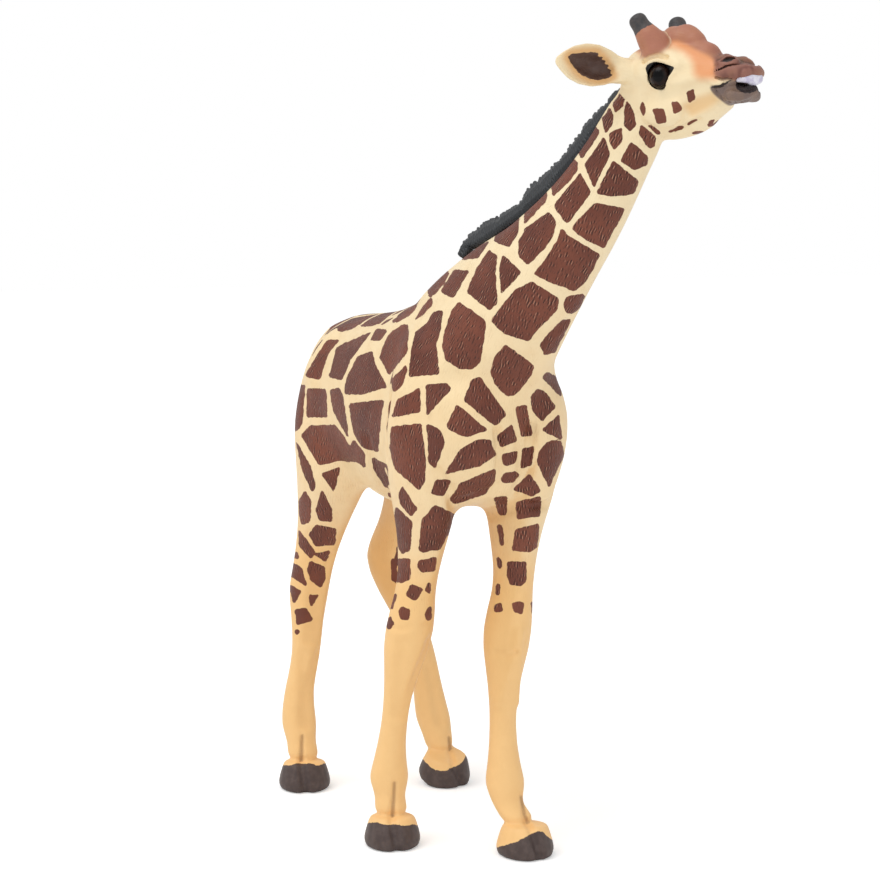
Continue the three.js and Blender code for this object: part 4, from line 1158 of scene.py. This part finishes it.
def skin_piece(skin, name, quads):
    """A piece of a skin, its borders closed, with the whole skin's normals so that no seam shows."""
    used, local = np.unique(quads, return_inverse=True)
    quads = local.reshape(-1, 4)
    points = skin.points[used]
    normals = skin.normals[used]
    faces = quads.tolist()
    for loop in boundary_loops(quads):
        if len(loop) < SMALLEST_CAP:
            continue
        first = len(points)
        rim = points[loop] - normals[loop] * CAP_DIP
        points = np.concatenate([points, rim, rim.mean(0)[None]])
        normals = np.concatenate([normals, normals[loop], normals[loop[:1]]])
        used = np.concatenate([used, used[loop], used[loop[:1]]])
        for k, after in enumerate(np.roll(np.arange(len(loop)), -1).tolist()):
            faces.append((loop[after], loop[k], first + k, first + after))
            faces.append((first + after, first + k, first + len(loop)))
    values = {key: getattr(skin, key)[used] for key in SKIN_VALUES}
    piece = add_piece("skin_" + name, points, faces, values)
    piece.data.normals_split_custom_set_from_vertices(normals.tolist())
    return piece


# Materials
class Nodes:
    """Short ways to add linked shader nodes to a material or world."""

    def __init__(self, owner):
        self.tree = owner.node_tree

    def add(self, kind, settings=None, **inputs):
        node = self.tree.nodes.new("ShaderNode" + kind)
        for key, value in (settings or {}).items():
            setattr(node, key, value)
        for key, value in inputs.items():
            self.feed(node.inputs[key.replace("_", " ")], value)
        return node

    def feed(self, socket, value):
        if isinstance(value, bpy.types.NodeSocket):
            self.tree.links.new(value, socket)
        else:
            socket.default_value = value

    def attribute(self, name, output="Fac"):
        return self.add("Attribute", {"attribute_name": name}).outputs[output]

    def maths(self, operation, a, b):
        node = self.add("Math", {"operation": operation})
        self.feed(node.inputs[0], a)
        self.feed(node.inputs[1], b)
        return node.outputs[0]

    def times(self, a, b):
        return self.maths("MULTIPLY", a, b)

    def plus(self, a, b):
        return self.maths("ADD", a, b)

    def span(self, value, low, high, to_low=0.0, to_high=1.0):
        node = self.add("MapRange", {"interpolation_type": "SMOOTHSTEP"}, Value=value)
        for key, number in (("From Min", low), ("From Max", high), ("To Min", to_low), ("To Max", to_high)):
            node.inputs[key].default_value = number
        return node.outputs["Result"]

    def mix(self, factor, a, b):
        node = self.add("Mix", {"data_type": "RGBA"})
        self.feed(node.inputs["Factor"], factor)
        self.feed(node.inputs["A"], a)
        self.feed(node.inputs["B"], b)
        return node.outputs["Result"]

    def place(self, scale):
        """The point's place in the figure, times a scale."""
        coordinates = self.add("TexCoord").outputs["Object"]
        return self.add("Mapping", Vector=coordinates, Scale=(scale,) * 3).outputs["Vector"]

    def noise(self, scale, detail=2.0, roughness=0.5):
        """Noise with features about 1 / scale millimetres wide."""
        place = self.place(scale / MM)
        noise = self.add("TexNoise", Vector=place, Scale=1.0, Detail=detail, Roughness=roughness)
        return noise.outputs["Fac"]

    def cloud(self, scale, detail, *span):
        return self.span(self.noise(scale, detail), *span)

    def grooves(self, scale, frequency):
        """Moulded hair: ridges and grooves that follow each other along the skin's comb."""
        gabor = self.add("TexGabor", {"gabor_type": "3D"}, Vector=self.place(1 / MM), Scale=scale,
                         Frequency=frequency, Anisotropy=1.0)
        self.feed(orientation_socket(gabor), self.attribute("comb", "Vector"))
        return gabor.outputs["Value"]

    def bump(self, height, depth, strength=1.0):
        """The normal of a relief that is up to depth millimetres high."""
        return self.add("Bump", Height=height, Strength=strength, Distance=depth * MM).outputs["Normal"]


def material_of(name, make_nodes, **fixed):
    """A material whose shader gets fixed values and what make_nodes gives for its sockets."""
    material = bpy.data.materials.new(name)
    material.use_nodes = True
    n = Nodes(material)
    for key, value in {**fixed, **make_nodes(n)}.items():
        n.feed(n.tree.nodes["Principled BSDF"].inputs[key.replace("_", " ")], value)
    return material


def orientation_socket(gabor):
    """The vector socket that turns 3-D Gabor noise; the 2-D one has the same name."""
    return next(socket for socket in gabor.inputs if socket.type == "VECTOR" and socket.name != "Vector")


def colour(*rgb):
    return (*linear(*rgb), 1.0)


def coat_nodes(n):
    """Painted vinyl: patches, dark paint and sprayed undercoat over moulded hair, with painted shade in the
    hair's grooves and a lighter colour on its ridges that is partly a painted highlight.
    """
    gloss = n.attribute("gloss")
    dull = n.maths("SUBTRACT", 1.0, gloss)
    wobble = n.cloud(0.6, 3, 0.25, 0.75, -0.13, 0.13)
    patch = n.span(n.plus(n.attribute("coat"), wobble), -0.07, 0.07)
    ragged = n.times(n.cloud(1.3, 2, 0.25, 0.75, -0.1, 0.1), dull)
    ink = n.span(n.plus(n.attribute("ink"), ragged), -0.06, 0.06)
    hair = n.maths("SUBTRACT", n.grooves(1.0, 1.5), 0.5)
    hair = n.times(hair, n.span(n.noise(0.5, 3, 0.6), 0.3, 0.6, 0.6, 1.5))
    hair = n.times(hair, n.attribute("hairy"))
    hair = n.times(hair, n.plus(n.times(patch, 0.65), 0.35))
    tone = n.plus(n.times(n.attribute("tone"), 0.5), n.cloud(0.12, 2, 0.3, 0.7, 0, 0.5))
    brown = n.mix(tone, colour(96, 49, 36), colour(130, 72, 52))
    # Painted shade in the hair's grooves, and a lighter colour on its ridges that is partly dry-brushed paint
    # and partly a painted highlight.
    brown = n.mix(n.span(hair, -0.02, -0.26, 0, 0.8), brown, colour(50, 24, 19))
    brown = n.mix(n.span(hair, 0.12, 0.36, 0, 0.6), brown, colour(206, 150, 124))
    ground = n.attribute("paint", "Vector")
    ground = n.mix(n.cloud(0.25, 3, 0.35, 0.75, 0, 0.12), ground, colour(222, 172, 108))
    # Painted shade in the hair's grooves on the pale ground too.
    ground = n.mix(n.span(hair, -0.05, -0.35, 0, 0.25), ground, colour(190, 138, 88))
    worn = n.times(n.cloud(0.7, 3, 0.3, 0.8, 0, 0.3), dull)
    dark = n.mix(worn, n.attribute("ink_paint", "Vector"), colour(120, 104, 98))
    rough = n.cloud(1.4, 2, 0.2, 0.8, 0.4, 0.58)
    return {
        "Base Color": n.mix(ink, n.mix(patch, ground, brown), dark),
        "Roughness": n.maths("SUBTRACT", rough, n.times(gloss, 0.3)),
        "Normal": n.bump(n.times(hair, dull), 0.3),
    }


def dark_hair_nodes(n):
    streak = n.grooves(0.8, 1.7)
    # The streaks along the strands are lighter and bluish: a painted highlight on the black hair.
    tint = n.mix(n.span(streak, 0.35, 0.8), colour(13, 15, 18), colour(44, 50, 56))
    return {
        "Base Color": n.mix(n.cloud(0.3, 3, 0.35, 0.75, 0, 0.4), tint, colour(26, 30, 35)),
        "Roughness": n.span(streak, 0.3, 0.7, 0.36, 0.55),
        "Normal": n.bump(streak, 0.3),
    }


def eye_nodes(n):
    cloud = n.cloud(1.1, 3, 0.3, 0.7)
    iris = n.span(n.attribute("sight"), 0.86, 0.9)
    tint = n.mix(cloud, colour(20, 12, 10), colour(38, 22, 16))
    return {
        "Base Color": n.mix(iris, tint, colour(5, 4, 5)),
        "Roughness": n.span(cloud, 0, 1, 0.14, 0.24),
    }


def tongue_nodes(n):
    cloud = n.noise(0.8, 3)
    return {
        "Base Color": n.mix(n.span(cloud, 0.3, 0.75), colour(236, 234, 244), colour(196, 188, 214)),
        "Roughness": n.span(cloud, 0.3, 0.7, 0.25, 0.4),
        "Normal": n.bump(cloud, 0.1, 0.5),
    }


MATERIALS = {
    slot: material_of(slot, coat_nodes, Specular_IOR_Level=0.35) for slot in ("coat", "horn", "hoof")
}
MATERIALS["mane"] = material_of("mane", dark_hair_nodes)
MATERIALS["eye"] = material_of("eye", eye_nodes, Specular_IOR_Level=0.16)
MATERIALS["tongue"] = material_of("tongue", tongue_nodes)


def slot_of(node):
    for slot in ("horn", "hoof", "mane", "eye", "tongue"):
        if slot in node:
            return slot
    return "mane" if node == "tail_tuft" else "coat"


def dress(piece, node):
    piece.data.materials.append(MATERIALS[slot_of(node)])
    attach(piece, "root")
    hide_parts(node)


# How far the neck's two halves reach past the plane where they meet
NECK_OVERLAP = 0.3


def part_skins():
    """Makes a piece for each node; the neck is made of both skins, which meet at a plane."""
    for skin, nodes in ((body, BODY_NODES), (head, HEAD_NODES + ("neck",))):
        face_owner = skin.owner[skin.quads[:, 0]]
        above_cut = (skin.points[skin.quads[:, 0]] - neck_cut) @ neck_aim
        kept = above_cut < NECK_OVERLAP if skin is body else above_cut > -NECK_OVERLAP
        for node in nodes:
            quads = skin.quads[(face_owner == node) & kept]
            name = node if skin is body or node != "neck" else "neck_top"
            dress(skin_piece(skin, name, quads), node)


# Mane: upright locks between a root line and a ragged tip line, read off the photograph
MANE_TIP_PX = ((463, 253), (464.5, 242), (469, 235), (478, 228), (484, 221.5), (491.7, 217.5),
               (497, 219.5), (502, 213.5), (509, 209.5), (519.3, 204), (522.7, 196.5), (528, 190.5),
               (530, 184.5), (539, 177.5), (550, 169.5), (556, 162.5), (567, 152.5), (570, 147.5),
               (573.5, 141), (580, 134), (584.5, 125), (590.5, 120), (597, 111.5), (605, 105),
               (611, 97.5), (618, 90.5))
MANE_ROOT_PX = ((464, 254), (469, 246), (484, 239), (493, 233), (507, 224), (523, 212.5),
                (535.5, 200), (550, 188.5), (558, 177), (570, 164), (580, 152.5), (591.5, 134.5),
                (603, 120.5), (614.5, 108), (622, 94))
LOCK_SPACING = 0.85
SHORT_LOCKS = 0.28
SHORT_SHARE = 0.86
LOCK_LEAN = 0.6
LOCK_SPLAY = 0.35
SHORTEST_LOCK = 0.6
CORE_RADII = (1.0, 0.75)
STRAND_RADII = (0.6, 0.58, 0.4)
HAIR_CELL = 0.2
HAIR_MARGIN = 2
HAIR_BAND = 2.0
HAIR_FILLET = 0.3


def mane_plane():
    """How far left the mane stands, as a curve over height."""
    points = node_triangles("mane")[0]
    return np.poly1d(np.polyfit(points[:, 2], points[:, 1], 2))


def on_mane(px, py, plane):
    """Where a pixel's ray meets the curved plane that the mane stands in."""
    ray = pixel_ray(px, py)
    height = middle("mane")[2]
    for _ in range(6):
        place = eye_point + ray * (plane(height) - eye_point[1]) / ray[1]
        height = place[2]
    return place


def resampled(chain, count):
    """A chain's line, as a number of evenly spaced points."""
    along = places_along(chain)
    spots = np.linspace(0, along[-1], count)
    return np.stack([np.interp(spots, along, chain[:, i]) for i in range(3)], 1)


def locks_surface(locks, fillet):
    """The skin round many tapering locks."""
    ends = np.concatenate([chain for chain, _ in locks])
    grid = Grid(ends.min(0) - HAIR_MARGIN, ends.max(0) + HAIR_MARGIN, HAIR_CELL, HAIR_BAND)
    whole = np.full(grid.shape, HAIR_BAND, np.float32)
    places = grid.points()
    for chain, radii in locks:
        shape_by_chain(grid, whole, places, chain, radii, fillet, join)
    return grid.surface(whole)


def mane_locks():
    """Each lock has a core between root and tip, and three strands that lean up the neck."""
    rng = np.random.default_rng(SEED)
    plane = mane_plane()
    tips = np.array([on_mane(px, py, plane) for px, py in MANE_TIP_PX])
    roots = np.array([on_mane(px, py, plane) for px, py in MANE_ROOT_PX])
    count = int(places_along(roots)[-1] / LOCK_SPACING)
    tips, roots = resampled(tips, count), resampled(roots, count)
    along = unit(roots[-1] - roots[0])
    across = np.array((0, 1.0, 0))
    locks = []
    for i in range(count):
        out = tips[i] - roots[i]
        tall = max(np.linalg.norm(out), SHORTEST_LOCK)
        out = out / tall
        core = np.array([roots[i] - out * 0.9, roots[i] + out * (tall * 0.45)])
        locks.append((core, CORE_RADII))
        short = SHORT_SHARE if rng.random() < SHORT_LOCKS else 1.0
        for side in (-1, 0, 1):
            lean = along * (LOCK_LEAN * rng.uniform(-0.2, 1.0) + LOCK_SPLAY * side)
            height = tall * short * rng.uniform(0.93, 1.0)
            chain = np.array([
                roots[i] - out * 0.4 + across * side * 0.85,
                roots[i] + out * height * 0.4 + across * side * 0.95 + lean * 0.3,
                roots[i] + out * height * 0.85 + across * side * 0.5 + lean,
            ])
            locks.append((chain, STRAND_RADII))
    return locks, unit(np.cross(along, (0, 1, 0)))


TUFT_STRANDS = 26
STRAND_TURN = 2.4
TUFT_SHARES = np.linspace(0, 1, 7)
TUFT_RADII = (0.5, 0.55, 0.55, 0.5, 0.42, 0.24)
TUFT_CORE_SHARE = 0.62
THINNEST_TUFT = 0.4


def tuft_locks():
    """Strands that hang from the tail's end and draw together to a ragged point."""
    rng = np.random.default_rng(SEED + 1)
    points = node_triangles("tail_tuft")[0].astype(float)
    mid = points.mean(0)
    axis = np.linalg.svd(points - mid)[2][0]
    axis *= -np.sign(axis[2])
    along = (points - mid) @ axis
    start, length = along.min(), np.ptp(along)
    spread = lengths(points - mid - along[:, None] * axis)
    spots = (along - start) / length
    girth = [spread[np.abs(spots - share) < 0.12].max(initial=THINNEST_TUFT) for share in TUFT_SHARES]
    side = unit(np.cross(axis, (0, 1, 0.3)))
    front = np.cross(axis, side)
    core = np.array([mid + axis * (start + length * share) for share in TUFT_SHARES[:6]])
    locks = [(core, np.maximum(np.array(girth[:6]) * TUFT_CORE_SHARE, THINNEST_TUFT))]
    for k in range(TUFT_STRANDS):
        twist = rng.uniform(-0.5, 0.5)
        end = rng.uniform(0.72, 1.0) if k % 3 else rng.uniform(0.9, 1.02)
        chain = []
        for share in np.linspace(0.02, end, 6):
            angle = STRAND_TURN * k + twist * share
            out = np.interp(share, TUFT_SHARES, girth) * rng.uniform(0.72, 0.86)
            outwards = side * math.cos(angle) + front * math.sin(angle)
            chain.append(mid + axis * (start + length * share) + out * outwards)
        locks.append((np.array(chain), TUFT_RADII))
    return locks, axis


def add_hair():
    for name, (locks, hair) in (("mane", mane_locks()), ("tail_tuft", tuft_locks())):
        points, quads = locks_surface(locks, HAIR_FILLET)
        comb = units(np.cross(vertex_normals(points, quads), hair))
        dress(add_piece("locks_" + name, points, quads.tolist(), {"comb": comb}), name)


EYE_FLATNESS = 0.16
EYE_BULGE = 0.15
EYES_TURNED_AHEAD = 0.35


def add_eyes():
    """Eyeballs with a clear bulge in front, and their angle from the line of sight for the iris."""
    for node in ("eye_right", "eye_left"):
        side = 1 if node.endswith("left") else -1
        sight = unit(head_left * side + head_ahead * EYES_TURNED_AHEAD)
        ball = bmesh.new()
        bmesh.ops.create_icosphere(ball, subdivisions=5, radius=1)
        directions = np.array([vert.co for vert in ball.verts])
        cosine = directions @ sight
        radius = EYE_RADIUS + EYE_BULGE * smooth_step(0.55, 1.0, cosine)
        points = middle(node) + directions * radius[:, None]
        points -= np.outer(EYE_FLATNESS * (points - middle(node)) @ head_left, head_left)
        faces = [[vert.index for vert in face.verts] for face in ball.faces]
        ball.free()
        dress(add_piece("ball_" + node, points, faces, {"sight": cosine}), node)


TONGUE_PX = ((733.5, 80, -2.6), (739, 79, -2.6), (745, 77.8, -2.2), (749.5, 78, -1.5), (753.5, 79.6, 0))
TONGUE_RADII = (0.25, 0.7, 1.05, 1.1, 0.85)
TONGUE_FILLET = 1.2


def add_tongue():
    """A tongue pressed up against the upper lip, with a groove along its middle."""
    near_side = np.array([to_head(at_side(*spot)) for spot in TONGUE_PX])
    locks = [(from_head(near_side * (1, side, 1)), TONGUE_RADII) for side in (1, 0, -1)]
    points, quads = locks_surface(locks, TONGUE_FILLET)
    dress(add_piece("soft_tongue", points, quads.tolist(), {}), "tongue")


part_skins()
add_hair()
add_eyes()
add_tongue()


# Studio: white floor and world, a large soft lamp above and a weaker one from the side
WORLD_LIGHT = 0.7
FLOOR_SIZE = 6
FLOOR_COLOUR = (0.96, 0.96, 0.96, 1)
FLOOR_LIFT = 0.3
KEY_ENERGY = 33.0
FILL_ENERGY = 4.5
LAMP_SIZE = 2.0
KEY_FROM = (0.0, -1.5, 2.6)
FILL_FROM = (2.3, -0.3, 0.9)


def add_lamp(name, energy, place):
    """A square soft lamp that shines at the origin."""
    data = bpy.data.lights.new(name, "AREA")
    data.energy = energy
    data.size = LAMP_SIZE
    lamp = bpy.data.objects.new(name, data)
    scene.collection.objects.link(lamp)
    lamp.location = place
    lamp.rotation_euler = Vector(place).to_track_quat("Z", "Y").to_euler()


def white_world():
    """White where the camera sees it, and a little darker as a light."""
    world = bpy.data.worlds.new("studio")
    world.use_nodes = True
    n = Nodes(world)
    path = n.add("LightPath").outputs
    shown = n.maths("MAXIMUM", path["Is Camera Ray"], path["Is Transmission Ray"])
    background = n.tree.nodes["Background"]
    background.inputs["Color"].default_value = (1, 1, 1, 1)
    n.feed(background.inputs["Strength"], n.maths("MAXIMUM", shown, WORLD_LIGHT))
    return world


def floor_nodes(n):
    """Lifts the floor towards white where the camera sees it."""
    lift = n.times(n.add("LightPath").outputs["Is Camera Ray"], FLOOR_LIFT)
    return {"Emission Color": (1, 1, 1, 1), "Emission Strength": lift}


def add_studio():
    bpy.ops.mesh.primitive_plane_add(size=FLOOR_SIZE)
    floor = bpy.context.object
    floor.name = "floor"
    material = material_of("floor", floor_nodes, Base_Color=FLOOR_COLOUR, Specular_IOR_Level=0)
    floor.data.materials.append(material)
    scene.world = white_world()
    add_lamp("key", KEY_ENERGY, KEY_FROM)
    add_lamp("fill", FILL_ENERGY, FILL_FROM)
    scene.view_settings.view_transform = "Standard"


add_studio()
